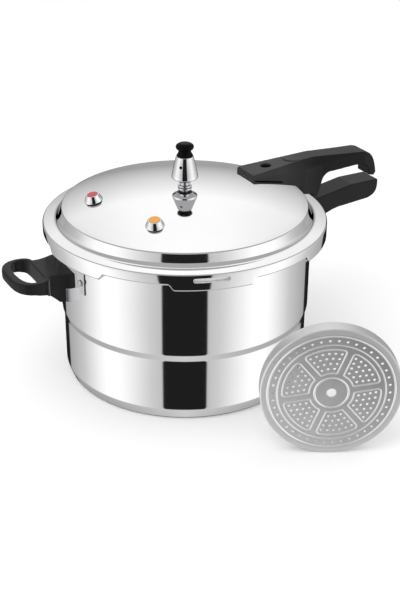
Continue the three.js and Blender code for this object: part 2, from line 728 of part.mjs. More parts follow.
// Regulator: a bored weight whose needle closes the pipe, with steam jets and a knob.
function regulatorWeight() {
  const foot = apex + WEIGHT_LIFT;
  const top = foot + WEIGHT_HEIGHT;
  const seat = apex + PIPE_HEIGHT + GAP;
  const bore = PIPE_RADIUS + TURN_GAP;
  const chamber = seat + NEEDLE_LENGTH;
  const weight = revolve(
    [
      [0, seat - 1.2],
      [PIPE_BORE * 0.7, seat - 0.6],
      [NEEDLE_RADIUS - 0.2, seat + 1],
      [NEEDLE_RADIUS, chamber],
      [bore, chamber],
      [bore, foot],
      [WEIGHT_FOOT_RADIUS, foot],
      [WEIGHT_RADIUS, foot + WEIGHT_FLARE],
      [WEIGHT_RADIUS, foot + WEIGHT_FLARE + WEIGHT_BAND],
      [WEIGHT_TOP_RADIUS, top],
      [KNOB_STUD_RADIUS, top],
      [KNOB_STUD_RADIUS, top + KNOB_STUD_HEIGHT],
      [0, top + KNOB_STUD_HEIGHT],
    ],
    WEIGHT_SIDES,
  );
  const jets = Array.from({ length: WEIGHT_JETS }, (_, i) => {
    const jet = rod(JET_RADIUS, (bore + NEEDLE_RADIUS) / 2, WEIGHT_RADIUS + 1, 8).rotate([0, 90, 0]);
    return turned(jet, JET_PHASE + (360 / WEIGHT_JETS) * i).translate([0, 0, foot + JET_HEIGHT]);
  });
  return mesh("regulator_weight", cut(weight, ...jets), "chrome");
}

function regulatorKnob() {
  const foot = apex + WEIGHT_LIFT + WEIGHT_HEIGHT + GAP;
  const top = foot + KNOB_HEIGHT;
  const bore = KNOB_STUD_RADIUS + GAP;
  const profile = [
    [bore, foot],
    [WEIGHT_TOP_RADIUS - 0.3, foot],
    [KNOB_NECK_RADIUS + 0.6, foot + KNOB_HEIGHT * 0.24],
    [KNOB_NECK_RADIUS, foot + KNOB_HEIGHT * 0.4],
    [KNOB_RADIUS - 0.8, foot + KNOB_HEIGHT * 0.52],
    [KNOB_RADIUS, foot + KNOB_HEIGHT * 0.68],
    [KNOB_RADIUS - 1, foot + KNOB_HEIGHT * 0.86],
    [KNOB_RADIUS - 4, top],
    [0, top],
    [0, foot + KNOB_STUD_HEIGHT],
    [bore, foot + KNOB_STUD_HEIGHT],
  ];
  return mesh("regulator_knob", ring(profile, KNOB_SIDES), "bakelite");
}

// One over-pressure valve: bolt and washer from below, dome nut and coloured plug on top.
function safetyValve(colour) {
  const frame = crownFrame(valveRadius, VALVE_ANGLES[colour]);
  const sag = 0.4; // the crown falls away from its tangent plane under the washers
  const under = -LID_SHEET - GAP - sag;
  const headTop = under - WASHER_THICKNESS - GAP;
  const hexagon = rod(VALVE_HEAD_RADIUS, headTop - VALVE_HEAD_HEIGHT, headTop, 6);
  const shank = rod(VALVE_SHANK_RADIUS, headTop - 1, VALVE_SHANK_HEIGHT);
  const bore = rod(VALVE_BORE, headTop - VALVE_HEAD_HEIGHT - 1, VALVE_SHANK_HEIGHT + 1, 10);
  frame.add(mesh(`${colour}_valve_bolt`, cut(joined(hexagon, shank), bore), "steel"));
  frame.add(mesh(`${colour}_valve_washer`, washerRing(VALVE_SHANK_RADIUS, under), "rubber"));

  const hole = PLUG_RADIUS + GAP;
  const nut = ring([
    [hole, GAP],
    [VALVE_NUT_FOOT, GAP],
    [VALVE_NUT_RADIUS - 0.5, VALVE_NUT_BELLY * 0.55],
    [VALVE_NUT_RADIUS, VALVE_NUT_BELLY],
    [VALVE_NUT_RADIUS - 0.3, VALVE_NUT_BELLY + 2],
    [VALVE_NUT_TOP, VALVE_NUT_HEIGHT],
    [hole, VALVE_NUT_HEIGHT],
  ]);
  frame.add(mesh(`${colour}_valve_nut`, nut, "chrome"));

  const seat = VALVE_SHANK_HEIGHT + GAP;
  const plug = revolve([
    [0, seat],
    [PLUG_RADIUS, seat],
    [PLUG_RADIUS, VALVE_NUT_HEIGHT],
    [PLUG_RADIUS * 0.7, VALVE_NUT_HEIGHT + PLUG_DOME * 0.7],
    [0, VALVE_NUT_HEIGHT + PLUG_DOME],
  ]);
  frame.add(mesh(`${colour}_valve_plug`, plug, colour));
  return frame;
}

// The lid's handle is screwed to a seat that two rivets hold on the crown.
function seatStart() {
  return tongueTip + SEAT_START;
}

function seatTop() {
  return crownHeight(seatStart()) + SEAT_HEIGHT;
}

function seatRivets() {
  return [seatStart() + RIVET_INSET, seatStart() + SEAT_LENGTH - RIVET_INSET];
}

function seatScrewX() {
  return seatStart() + SEAT_LENGTH / 2;
}

function lidHandleSeat() {
  const start = seatStart();
  const end = start + SEAT_LENGTH;
  const steps = 4;
  const outline = new THREE.Shape();
  outline.moveTo(end, seatTop());
  outline.lineTo(start, seatTop());
  for (let i = 0; i <= steps; i++) {
    const x = start + (SEAT_LENGTH / steps) * i;
    outline.lineTo(x, crownHeight(x) + GAP);
  }
  outline.closePath();
  const rivetHole = rod(RIVET_RADIUS + GAP, crownEdge, apex, RIVET_SIDES);
  const holes = seatRivets().map((x) => moved(rivetHole, x, 0, 0));
  const screwHole = rod(SCREW_RADIUS + GAP, seatTop() - SEAT_HEIGHT, apex, RIVET_SIDES);
  holes.push(moved(screwHole, seatScrewX(), 0, 0));
  return mesh("lid_handle_seat", cut(sidePiece(outline, SEAT_WIDTH), ...holes), "satin");
}

function seatRivet(name, x) {
  const edge = x + RIVET_HEAD_RADIUS;
  const inside = crownHeight(edge) - LID_SHEET - 2 * GAP;
  const outside = seatTop() + GAP;
  const rivet = revolve(
    [
      [0, inside - RIVET_HEAD_HEIGHT],
      [RIVET_HEAD_RADIUS * 0.7, inside - RIVET_HEAD_HEIGHT],
      [RIVET_HEAD_RADIUS, inside],
      [RIVET_RADIUS, inside],
      [RIVET_RADIUS, outside],
      [RIVET_HEAD_RADIUS, outside],
      [RIVET_HEAD_RADIUS * 0.7, outside + RIVET_HEAD_HEIGHT],
      [0, outside + RIVET_HEAD_HEIGHT],
    ],
    RIVET_SIDES,
  );
  return mesh(name, moved(rivet, x, 0, 0), "satin");
}

// Height of the handle's top face over the tongue, which rises from the tip to the grip.
function tongueTopAt(x) {
  const share = (x - tongueTip) / (skirtRadius - tongueTip);
  return tongueTop + GRIP_RISE * share;
}

function screwHeadSeat() {
  return tongueTopAt(seatScrewX()) - SCREW_RECESS - SCREW_HEAD_HEIGHT;
}

function lidHandleScrew() {
  const under = screwHeadSeat();
  const shape = revolve(
    [
      [0, seatTop() - SEAT_HEIGHT + 1.5],
      [SCREW_RADIUS, seatTop() - SEAT_HEIGHT + 1.5],
      [SCREW_RADIUS, under],
      [SCREW_HEAD_RADIUS, under],
      [SCREW_HEAD_RADIUS * 0.85, under + SCREW_HEAD_HEIGHT],
      [0, under + SCREW_HEAD_HEIGHT],
    ],
    SCREW_SIDES,
  );
  return mesh("lid_handle_screw", moved(shape, seatScrewX(), 0, 0), "steel");
}

// The handle's plan and flanks: each station has a place, the half width below and on the top face,
// the height of the top face and how far down the flank leans.
function handleStations() {
  const grip = HANDLE_WIDTH / 2;
  const face = GRIP_TOP_WIDTH / 2;
  const wide = TONGUE_WIDTH / 2;
  const shoulder = skirtRadius - 11;
  const neckEnd = skirtRadius + NECK_THICKNESS;
  const corner = tongueTip + TONGUE_CORNER;
  const bend = handleEnd - 18;
  return [
    [tongueTip, wide - TONGUE_CORNER, wide - TONGUE_CORNER - 1, tongueTop, FLANK_LEAN],
    [corner, wide, wide - 1.5, tongueTopAt(corner), FLANK_LEAN],
    [shoulder, wide + 0.5, face, tongueTopAt(shoulder), SHOULDER_LEAN],
    [neckEnd, grip + 1, face, gripTop, SHOULDER_LEAN - 1],
    [bend, grip, face, gripTop, FLANK_LEAN + 1],
    [handleEnd, grip - 4, face - 4, gripTop, FLANK_LEAN + 1],
  ];
}

// A solid through stations along X, each a six-cornered section.
function loft(stations, bottom) {
  const corners = [];
  for (const [x, half, face, top, lean] of stations) {
    const low = top - lean;
    corners.push(
      [x, -half, bottom],
      [x, half, bottom],
      [x, half, low],
      [x, face, top],
      [x, -face, top],
      [x, -half, low],
    );
  }
  const sides = 6;
  const faces = [];
  for (let i = 0; i + 1 < stations.length; i++) {
    for (let j = 0; j < sides; j++) {
      const a = i * sides + j;
      const b = i * sides + ((j + 1) % sides);
      faces.push(a, b, b + sides, a, b + sides, a + sides);
    }
  }
  const last = (stations.length - 1) * sides;
  for (let j = 1; j + 1 < sides; j++) {
    faces.push(0, j + 1, j, last, last + j, last + j + 1);
  }
  const geometry = new THREE.BufferGeometry();
  geometry.setAttribute("position", new THREE.Float32BufferAttribute(corners.flat(), 3));
  geometry.setIndex(faces);
  return solid(geometry);
}

// Thin slits in the tongue's flanks and tip, a little above the crown.
function tongueSlits() {
  const start = tongueTip - 1;
  const end = tongueTip + SLIT_LENGTH;
  const outline = new THREE.Shape();
  outline.moveTo(start, crownHeight(start) + SLIT_LIFT);
  outline.lineTo(end, crownHeight(end) + SLIT_LIFT);
  outline.lineTo(end, crownHeight(end) + SLIT_LIFT + SLIT_HEIGHT);
  outline.lineTo(start, crownHeight(start) + SLIT_LIFT + SLIT_HEIGHT);
  outline.closePath();
  const inside = TONGUE_WIDTH / 2 - SLIT_DEPTH;
  const corner = TONGUE_CORNER + SLIT_DEPTH;
  const kept = new THREE.Shape();
  kept.moveTo(tongueTip + SLIT_DEPTH, corner - TONGUE_WIDTH / 2);
  kept.lineTo(tongueTip + corner, -inside);
  kept.lineTo(end + 1, -inside);
  kept.lineTo(end + 1, inside);
  kept.lineTo(tongueTip + corner, inside);
  kept.lineTo(tongueTip + SLIT_DEPTH, TONGUE_WIDTH / 2 - corner);
  kept.closePath();
  return cut(sidePiece(outline, 2 * TONGUE_WIDTH), slab(kept, crownEdge, apex + TONGUE_HEIGHT));
}

function lidHandle() {
  const clear = 2 * GAP;
  const steps = 6;
  const neckEnd = skirtRadius + NECK_THICKNESS;
  const ceiling = gripTop - GRIP_THICKNESS;
  const endTop = gripTop - GRIP_FALL;
  const hookTip = potGripTop + HOOK_GAP;
  const hookInner = handleEnd - HOOK_THICKNESS;
  const outline = new THREE.Shape();
  outline.moveTo(tongueTip, tongueTop);
  outline.lineTo(tongueTip, crownHeight(tongueTip) + clear);
  for (let i = 1; i <= steps; i++) {
    const x = tongueTip + (TONGUE_LENGTH / steps) * i;
    outline.lineTo(x, crownHeight(x) + clear);
  }
  outline.lineTo(crownRadius + 2 * clear, crownEdge + clear);
  outline.lineTo(wallRadius + 2 * clear, flangeRoot + 3 * clear);
  outline.lineTo(skirtRadius + clear, flangeEdge + clear + 0.4);
  outline.lineTo(skirtRadius + clear, flangeEdge - 4);
  outline.lineTo(skirtRadius + 6, flangeEdge - 4);
  outline.quadraticCurveTo(neckEnd - 2, flangeEdge + 2, neckEnd, (flangeEdge + ceiling) / 2);
  outline.quadraticCurveTo(neckEnd + 2, ceiling - 2, neckEnd + 9, ceiling);
  outline.lineTo(handleEnd - 24, ceiling + 2);
  outline.quadraticCurveTo(hookInner, ceiling, hookInner, hookTip + 2);
  outline.lineTo(handleEnd - 3, hookTip);
  outline.lineTo(handleEnd, hookTip + 3);
  outline.quadraticCurveTo(handleEnd - 4, endTop - 1, handleEnd - 20, endTop + 1);
  outline.lineTo(skirtRadius, gripTop);
  outline.closePath();

  const body = sidePiece(outline, 2 * TONGUE_WIDTH).intersect(loft(handleStations(), lipBottom));
  const pocketTop = seatTop() + RIVET_HEAD_HEIGHT + 2 * GAP;
  const pocket = block(
    [seatStart() - GAP, -SEAT_WIDTH / 2 - GAP, crownEdge],
    [seatStart() + SEAT_LENGTH + GAP, SEAT_WIDTH / 2 + GAP, pocketTop],
  );
  const x = seatScrewX();
  const clearHole = moved(rod(SCREW_RADIUS + GAP, crownEdge, gripTop + 5, RIVET_SIDES), x, 0, 0);
  const recess = moved(rod(SCREW_HEAD_RADIUS + GAP, screwHeadSeat() - GAP, gripTop + 5), x, 0, 0);
  const badgeX = skirtRadius - BADGE_INSET;
  const badgeTop = tongueTopAt(badgeX) + BADGE_HEIGHT;
  const badge = moved(rod(BADGE_RADIUS, badgeTop - 3, badgeTop, KNOB_SIDES), badgeX, 0, 0);
  const made = cut(joined(body, badge), pocket, clearHole, recess, tongueSlits());
  return mesh("lid_handle", made, "bakelite");
}

// Steam rack: a perforated disc with stamped beads on a turned rim, standing on that rim beside the pot.
function rackHoles() {
  const places = [];
  for (let i = 0; i < RACK_EDGE_HOLES; i++) {
    places.push([RACK_EDGE_HOLES_RADIUS, ((i + 0.5) / RACK_EDGE_HOLES) * 2 * Math.PI]);
  }
  for (const middle of rackSectors()) {
    for (const { radius, holes } of RACK_SECTOR_ROWS) {
      for (let i = 0; i < holes; i++) {
        const along = RACK_HOLE_PITCH * (i - (holes - 1) / 2);
        places.push([radius, middle + along / radius]);
      }
    }
  }
  return places.map(([radius, angle]) => [radius * Math.cos(angle), radius * Math.sin(angle)]);
}

// The middle angles of the sectors, in radians.
function rackSectors() {
  const first = THREE.MathUtils.degToRad(RACK_PHASE);
  return Array.from({ length: RACK_SECTORS }, (_, i) => first + (2 * Math.PI * i) / RACK_SECTORS);
}

// The outline of a sector, grown or shrunk by a margin.
function sectorOutline(middle, margin) {
  const steps = 3;
  const points = [];
  for (const [radius, way] of [
    [RACK_SECTOR_OUTER + margin, 1],
    [RACK_SECTOR_INNER - margin, -1],
  ]) {
    const half = Math.PI / RACK_SECTORS - Math.asin((RACK_HALF_SPOKE - margin) / radius);
    for (let i = 0; i <= steps; i++) {
      const angle = middle + way * half * ((2 * i) / steps - 1);
      points.push(new THREE.Vector2(radius * Math.cos(angle), radius * Math.sin(angle)));
    }
  }
  return points;
}

function steamRack() {
  const disc = new THREE.Shape();
  disc.absarc(0, 0, RACK_RADIUS - RACK_SHEET / 2, 0, 2 * Math.PI);
  for (const [x, y] of rackHoles()) {
    const hole = new THREE.Path();
    for (let i = 0; i < RACK_HOLE_SIDES; i++) {
      const angle = (2 * Math.PI * i) / RACK_HOLE_SIDES;
      const point = [x + RACK_HOLE_RADIUS * Math.cos(angle), y + RACK_HOLE_RADIUS * Math.sin(angle)];
      if (i === 0) hole.moveTo(...point);
      else hole.lineTo(...point);
    }
    hole.closePath();
    disc.holes.push(hole);
  }
  const plate = slab(disc, -RACK_SHEET, 0, ROUND_SIDES / 2);
  const rim = ring(
    [
      [RACK_RADIUS - RACK_SHEET, -RACK_RIM_HEIGHT],
      [RACK_RADIUS, -RACK_RIM_HEIGHT],
      [RACK_RADIUS, -RACK_SHEET],
      [RACK_RADIUS - RACK_SHEET, 0],
      [RACK_RADIUS - 2 * RACK_SHEET, -RACK_SHEET / 2],
    ],
    ROUND_SIDES,
  );
  const beads = RACK_BEAD_RADII.map((radius) =>
    ring(
      [
        [radius - RACK_BEAD_WIDTH / 2, -RACK_SHEET / 2],
        [radius + RACK_BEAD_WIDTH / 2, -RACK_SHEET / 2],
        [radius, RACK_BEAD],
      ],
      RACK_BEAD_SIDES,
    ),
  );
  const sectors = rackSectors().map((middle) => {
    const edge = new THREE.Shape(sectorOutline(middle, RACK_BEAD_WIDTH / 2));
    edge.holes.push(new THREE.Path(sectorOutline(middle, -RACK_BEAD_WIDTH / 2)));
    return slab(edge, -RACK_SHEET / 2, RACK_BEAD / 2);
  });
  const centre = rod(RACK_CENTRE_HOLE, -RACK_SHEET - 1, RACK_BEAD + 1);
  const rack = mesh("steam_rack", cut(joined(plate, rim, ...beads, ...sectors), centre), "satin");
  const stand = new THREE.Group();
  rack.rotation.set(Math.PI / 2, 0, 0);
  stand.add(rack);
  stand.rotation.z = THREE.MathUtils.degToRad(RACK_FACING + 90);
  stand.position.set(RACK_PLACE.x, RACK_PLACE.y, RACK_RADIUS);
  return stand;
}

const cooker = new THREE.Group();
cooker.name = "pressure_cooker";

const pot = new THREE.Group();
pot.add(potShell());
for (const [name, side] of [
  ["pot_handle", potSide],
  ["helper_handle", helperSide],
]) {
  const { degrees, drop } = side;
  pot.add(handleBracket(`${name}_bracket`, side));
  pot.add(bracketScrew(`${name}_screw`, side));
  pot.add(bracketRivet(`${name}_rivet_left`, degrees + BRACKET_RIVET_ANGLE, drop));
  pot.add(bracketRivet(`${name}_rivet_right`, degrees - BRACKET_RIVET_ANGLE, drop));
}
pot.add(potHandle(), helperHandle());

const lid = new THREE.Group();
lid.add(lidShell(), gasket(), ventPipe(), ventWasher(), ventNut(), ventFilter());
for (const colour of Object.keys(VALVE_ANGLES)) lid.add(safetyValve(colour));
lid.add(lidHandleSeat(), lidHandleScrew(), lidHandle());
seatRivets().forEach((x, i) => lid.add(seatRivet(`lid_handle_rivet_${i + 1}`, x)));

const regulator = new THREE.Group();
regulator.add(regulatorWeight(), regulatorKnob());

cooker.add(pot, lid, regulator, steamRack());

export default cooker;
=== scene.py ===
# %% [markdown]
# # A stove-top pressure cooker
# The cooker is spun and polished aluminium with black moulded handles. Its parts come from a packed
# model that fixes every size and every joint. This lesson dresses that model: smooth spun shells take
# the place of the faceted ones, and each surface gets a finish.

# %% Load the frame
import json
import math

import bmesh
import bpy
from mathutils import Matrix, Vector


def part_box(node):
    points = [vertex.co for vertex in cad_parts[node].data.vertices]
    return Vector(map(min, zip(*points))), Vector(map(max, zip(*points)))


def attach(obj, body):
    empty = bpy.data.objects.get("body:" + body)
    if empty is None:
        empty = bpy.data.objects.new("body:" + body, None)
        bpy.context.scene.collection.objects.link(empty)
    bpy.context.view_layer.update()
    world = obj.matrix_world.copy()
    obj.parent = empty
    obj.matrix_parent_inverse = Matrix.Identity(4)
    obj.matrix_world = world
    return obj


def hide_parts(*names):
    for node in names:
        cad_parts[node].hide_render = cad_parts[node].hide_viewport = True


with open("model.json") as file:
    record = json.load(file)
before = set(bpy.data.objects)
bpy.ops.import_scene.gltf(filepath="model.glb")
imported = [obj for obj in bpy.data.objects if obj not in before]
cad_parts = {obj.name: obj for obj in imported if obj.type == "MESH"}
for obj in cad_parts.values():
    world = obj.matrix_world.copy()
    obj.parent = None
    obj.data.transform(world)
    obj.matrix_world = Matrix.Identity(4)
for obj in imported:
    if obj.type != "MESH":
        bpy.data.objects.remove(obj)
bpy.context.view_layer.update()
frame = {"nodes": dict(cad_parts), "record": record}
MM = 0.001

# %% [markdown]
# ## Camera
# The picture is taken from the front, a little towards the helper handle, and looks down on the lid. A
# short lens from close by would make the pot's sides lean. A long lens from farther off keeps them
# nearly upright, as in a catalogue picture, so a long one is used here.

# %% Camera
CAMERA_AZIMUTH = math.radians(-27.5)
CAMERA_ELEVATION = math.radians(26.9)
CAMERA_DISTANCE = 1.2006
CAMERA_TARGET = Vector((0, 0, 0.0682))
SENSOR_WIDTH = 36
FOCAL_PIXELS = 1150
FRAME_WIDTH = 400
FRAME_HEIGHT = 600
TARGET_PIXEL_X = 184.8

towards_camera = Vector((
    math.sin(CAMERA_AZIMUTH) * math.cos(CAMERA_ELEVATION),
    -math.cos(CAMERA_AZIMUTH) * math.cos(CAMERA_ELEVATION),
    math.sin(CAMERA_ELEVATION),
))
camera_data = bpy.data.cameras.new("camera")
camera_data.sensor_width = SENSOR_WIDTH
camera_data.lens = SENSOR_WIDTH * FOCAL_PIXELS / FRAME_HEIGHT
camera_data.shift_x = (FRAME_WIDTH / 2 - TARGET_PIXEL_X) / FRAME_HEIGHT
camera = bpy.data.objects.new("camera", camera_data)
camera.location = CAMERA_TARGET + towards_camera * CAMERA_DISTANCE
camera.rotation_euler = towards_camera.to_track_quat("Z", "Y").to_euler()
bpy.context.scene.collection.objects.link(camera)
bpy.context.scene.camera = camera
print("lens in millimetres", round(camera_data.lens, 1))

# %% [markdown]
# ## Shader maths
# A finish is a small sum, such as a base value plus a little noise. Its nodes could be added one by
# one, which takes many lines. One class wraps a node's output instead, so that such a sum can be
# written with Python's operators. Its node method adds any other node.


# %% Sockets with operators
class Wire:
    """An output socket in a node tree that Python's operators can work with."""

    def __init__(self, tree, socket=None):
        self.tree = tree
        self.socket = socket

    def node(self, kind, settings=None, inputs=None, output=0):
        made = self.tree.nodes.new(kind)
        for name, value in (settings or {}).items():
            if name == "stops":
                self.set_stops(made.color_ramp, value)
            else:
                setattr(made, name, value)
        for name, value in (inputs or {}).items():
            for single in value if isinstance(value, list) else [value]:
                if isinstance(single, Wire):
                    self.tree.links.new(single.socket, made.inputs[name])
                else:
                    made.inputs[name].default_value = single
        return Wire(self.tree, made.outputs[output] if made.outputs else None)

    @staticmethod
    def set_stops(ramp, stops):
        while len(ramp.elements) < len(stops):
            ramp.elements.new(1)
        for element, (place, grey) in zip(ramp.elements, stops):
            element.position = place
            element.color = (grey, grey, grey, 1)

    def maths(self, operation, first, second=0):
        return self.node("ShaderNodeMath", {"operation": operation}, {0: first, 1: second})

    def __add__(self, other):
        return self.maths("ADD", self, other)

    __radd__ = __add__

    def __sub__(self, other):
        return self.maths("SUBTRACT", self, other)

    def __rsub__(self, other):
        return self.maths("SUBTRACT", other, self)

    def __mul__(self, other):
        return self.maths("MULTIPLY", self, other)

    __rmul__ = __mul__

    def __truediv__(self, other):
        return self.maths("DIVIDE", self, other)

    def __mod__(self, other):
        return self.maths("MODULO", self, other)

    def __pow__(self, other):
        return self.maths("POWER", self, other)

    def __neg__(self):
        return self * -1

    def __abs__(self):
        return self.maths("ABSOLUTE", self)


print("a wire knows", [name for name in vars(Wire) if not name.startswith("_")])


# %% Masks and colours
def step_up(value, low, high):
    """0 below one value, 1 above another, and a straight line between."""
    share = (value - low) / (high - low)
    return share.maths("MINIMUM", share.maths("MAXIMUM", share, 0), 1)


def step_down(value, low, high):
    """1 below one value, 0 above another, and a straight line between."""
    return step_up(-value, -high, -low)


def mixed(share, first, second):
    """A colour between two, by a share from 0 to 1. A colour has red, green, blue and alpha."""
    return share.node("ShaderNodeMix", {"data_type": "RGBA"}, {0: share, 6: first, 7: second}, output=2)


def tinted(share, dark, light):
    """A colour between two plain ones, without alpha."""
    return mixed(share, (*dark, 1), (*light, 1))


print("masks run from 0 to 1")


# %% Places and materials
def along(place, direction):
    """How far a place lies along a direction."""
    settings = {"operation": "DOT_PRODUCT"}
    return place.node("ShaderNodeVectorMath", settings, {0: place, 1: tuple(direction)}, output=1)


def axes_of(place):
    """The three parts of a vector."""
    outputs = place.node("ShaderNodeSeparateXYZ", inputs={0: place}).socket.node.outputs
    return [Wire(place.tree, outputs[i]) for i in range(3)]


def from_axis(place):
    """The distance from the axis, and the height."""
    x, y, z = axes_of(place)
    return (x * x + y * y) ** 0.5, z


def blank_material(name):
    """A material with one Principled shader, and a wire at the object's coordinates."""
    material = bpy.data.materials.new(name)
    material.use_nodes = True
    tree = material.node_tree
    place = Wire(tree).node("ShaderNodeTexCoord", output=3)
    return material, tree.nodes["Principled BSDF"], place


def feed(shader, name, value):
    """Sets a shader's socket, or links a wire to it."""
    if isinstance(value, Wire):
        value.tree.links.new(value.socket, shader.inputs[name])
    else:
        shader.inputs[name].default_value = value


print("shader helpers ready")

# %% [markdown]
# ## Metals
# Spun aluminium is polished on a lathe, so its fine lines run round the axis. Scratches could be
# painted, but noise that reads only the distance from the axis plus the height draws those lines on the
# crown and on the wall alike. Broad, faint noise in the roughness keeps the mirror from looking like
# computer chrome.

# %% Noise and lines
CLOUD_SCALE = 22
FINE_SCALE = 900
LINE_STRENGTH = 0.25


def noise(place, scale, detail=3, roughness=0.5):
    inputs = {"Vector": place, "Scale": scale, "Detail": detail, "Roughness": roughness}
    return place.node("ShaderNodeTexNoise", inputs=inputs)


def turned_lines(place, lines_per_metre):
    """Noise that changes only with the distance from the axis and the height."""
    radius, height = from_axis(place)
    inputs = {"W": radius + height, "Scale": lines_per_metre, "Detail": 2}
    return radius.node("ShaderNodeTexNoise", {"noise_dimensions": "1D"}, inputs)


def bump(height, strength, distance):
    inputs = {"Strength": strength, "Distance": distance, "Height": height}
    return height.node("ShaderNodeBump", inputs=inputs)


def metal(name, dark, light, roughness, spread, lines=0, line_depth=0.0, metallic=1.0):
    """A metal with cloudy wear in its colour and roughness, and turned lines if it has any."""
    material, shader, place = blank_material(name)
    cloud = noise(place, CLOUD_SCALE)
    fine = noise(place, FINE_SCALE, 2)
    mean = 0.75 * spread
    feed(shader, "Base Color", tinted(cloud, dark, light))
    feed(shader, "Metallic", metallic)
    feed(shader, "Roughness", cloud * spread + fine * (spread / 2) + (roughness - mean))
    if lines:
        feed(shader, "Normal", bump(turned_lines(place, lines), LINE_STRENGTH, line_depth))
    return material


print("clouds of", round(1000 / CLOUD_SCALE), "mm")

# %% The metals
CHROME_TINTS = ((0.88, 0.88, 0.9), (0.94, 0.94, 0.95))

polished = metal("polished_aluminium", (0.86, 0.86, 0.87), (0.93, 0.93, 0.94), 0.055, 0.03, 900, 0.000004)
satin = metal("satin_aluminium", (0.56, 0.56, 0.57), (0.66, 0.66, 0.67), 0.45, 0.1, 1500, 0.00002, 0.55)
chrome = metal("chrome", *CHROME_TINTS, 0.04, 0.02)
steel = metal("steel", (0.68, 0.68, 0.7), (0.78, 0.78, 0.8), 0.24, 0.08, 2200, 0.00001)
brass = metal("brass", (0.66, 0.5, 0.24), (0.78, 0.62, 0.32), 0.26, 0.08)
# Near-black steel, painted shade for the screw deep in the tongue's hole.
screw_shade_metal = metal("screw_shade_steel", (0.004, 0.004, 0.004), (0.007, 0.007, 0.007), 0.6, 0.1)
print("metals", [made.name for made in (polished, satin, chrome, steel, brass, screw_shade_metal)])

# %% [markdown]
# ## Moulded black and silicone
# The handles are a filled resin, pressed in a mould: nearly black, with a low sheen and a very fine
# grain. Silicone is softer to look at, matte and a little cloudy. A plain colour would look like paint.
# A cloud in the colour and a grain in the bump suit both, so one function makes them all.

# %% Plastics and silicone
MOULD_CLOUD_SCALE = 45
GRAIN_STRENGTH = 0.3
RESIN = {"roughness": 0.33, "spread": 0.14, "grain": 2600, "grain_depth": 0.00004}
SILICONE = {"spread": 0.1, "grain": 1200, "grain_depth": 0.00003}


def moulded(name, dark, light, roughness, spread, grain, grain_depth, sheen=0.5):
    material, shader, place = blank_material(name)
    cloud = noise(place, MOULD_CLOUD_SCALE, 4)
    speck = noise(place, grain, 2)
    feed(shader, "Base Color", tinted(cloud, dark, light))
    feed(shader, "Roughness", cloud * spread + (roughness - spread / 2))
    feed(shader, "Normal", bump(speck, GRAIN_STRENGTH, grain_depth))
    feed(shader, "Specular IOR Level", sheen)
    return material


slots = {
    "polished_aluminium": polished,
    "satin_aluminium": satin,
    "chrome": chrome,
    "steel": steel,
    "brass": brass,
    "bakelite": moulded("bakelite", (0.010, 0.010, 0.0105), (0.016, 0.016, 0.0165), **RESIN, sheen=0.12),
    "white_silicone": moulded("white_silicone", (0.9, 0.9, 0.89), (0.95, 0.95, 0.94), 0.55, **SILICONE),
    "dark_rubber": moulded("dark_rubber", (0.03, 0.03, 0.03), (0.05, 0.05, 0.05), 0.7, **SILICONE),
    "red_silicone": moulded("red_silicone", (0.42, 0.045, 0.06), (0.52, 0.075, 0.09), 0.5, **SILICONE),
    "amber_silicone": moulded("amber_silicone", (0.64, 0.28, 0.04), (0.74, 0.37, 0.07), 0.5, **SILICONE),
}
print("finishes", sorted(slots))

# %% [markdown]
# ## Spinning a profile
# A spun shell is a profile turned round an axis. A Screw modifier could turn it, but a few lines of
# bmesh also serve for parts of a turn. Real spun edges are never sharp, so each corner of a profile may
# carry a fillet, and the rounded corner catches the bright line that shows where the metal turns.

# %% Profiles
SIDE_SHARE = 0.49


def rounded(points, steps=5):
    """A polyline whose corners (radius, height, fillet) are rounded off, where they have a fillet."""
    path = []
    for i, point in enumerate(points):
        corner = Vector(point[:2])
        fillet = point[2] if len(point) > 2 else 0
        if not fillet:
            path.append(tuple(corner))
            continue
        back = Vector(points[i - 1][:2]) - corner
        ahead = Vector(points[(i + 1) % len(points)][:2]) - corner
        reach = min(fillet, back.length * SIDE_SHARE, ahead.length * SIDE_SHARE)
        start = corner + back.normalized() * reach
        end = corner + ahead.normalized() * reach
        for step in range(steps + 1):
            share = step / steps
            first = start.lerp(corner, share)
            path.append(tuple(first.lerp(corner.lerp(end, share), share)))
    return path


print("a corner is rounded in", len(rounded([(0, 0), (1, 0, 0.2), (1, 1)])) - 3, "steps")

# %% Turned and swept shapes
MERGE_DISTANCE = 1e-6


def column(made, profile, angle):
    """New vertices along a profile in millimetres, at an angle round Z."""
    across = Vector((math.cos(angle), math.sin(angle), 0))
    return [made.verts.new((across * r + Vector((0, 0, z))) * MM) for r, z in profile]


def bridge(made, here, there, count):
    """The first faces between two columns, as many as the count says."""
    for i in range(count):
        j = (i + 1) % len(here)
        made.faces.new((here[i], there[i], there[j], here[j]))


def closed_mesh(name, made):
    """A bmesh as a mesh, with its doubles merged and its faces turned outwards."""
    bmesh.ops.remove_doubles(made, verts=made.verts, dist=MERGE_DISTANCE)
    bmesh.ops.recalc_face_normals(made, faces=made.faces)
    mesh = bpy.data.meshes.new(name)
    made.to_mesh(mesh)
    made.free()
    return mesh


def lathe(name, profile, steps=144):
    """Turns a profile in millimetres round Z. One that keeps off the axis closes on itself."""
    made = bmesh.new()
    columns = [column(made, profile, 2 * math.pi * step / steps) for step in range(steps)]
    count = len(profile) if profile[0][0] > 0 else len(profile) - 1
    for step, here in enumerate(columns):
        bridge(made, here, columns[(step + 1) % steps], count)
    return closed_mesh(name, made)


def swept(name, made, rings):
    """A solid through closed rings of vertices, with a face at each end."""
    for here, there in zip(rings, rings[1:]):
        bridge(made, here, there, len(here))
    made.faces.new(rings[0])
    made.faces.new(rings[-1])
    return closed_mesh(name, made)


print("doubles merge within", MERGE_DISTANCE, "m")


# %% Pieces
def linked(name, data):
    """A new object in the scene."""
    made = bpy.data.objects.new(name, data)
    bpy.context.scene.collection.objects.link(made)
    return made


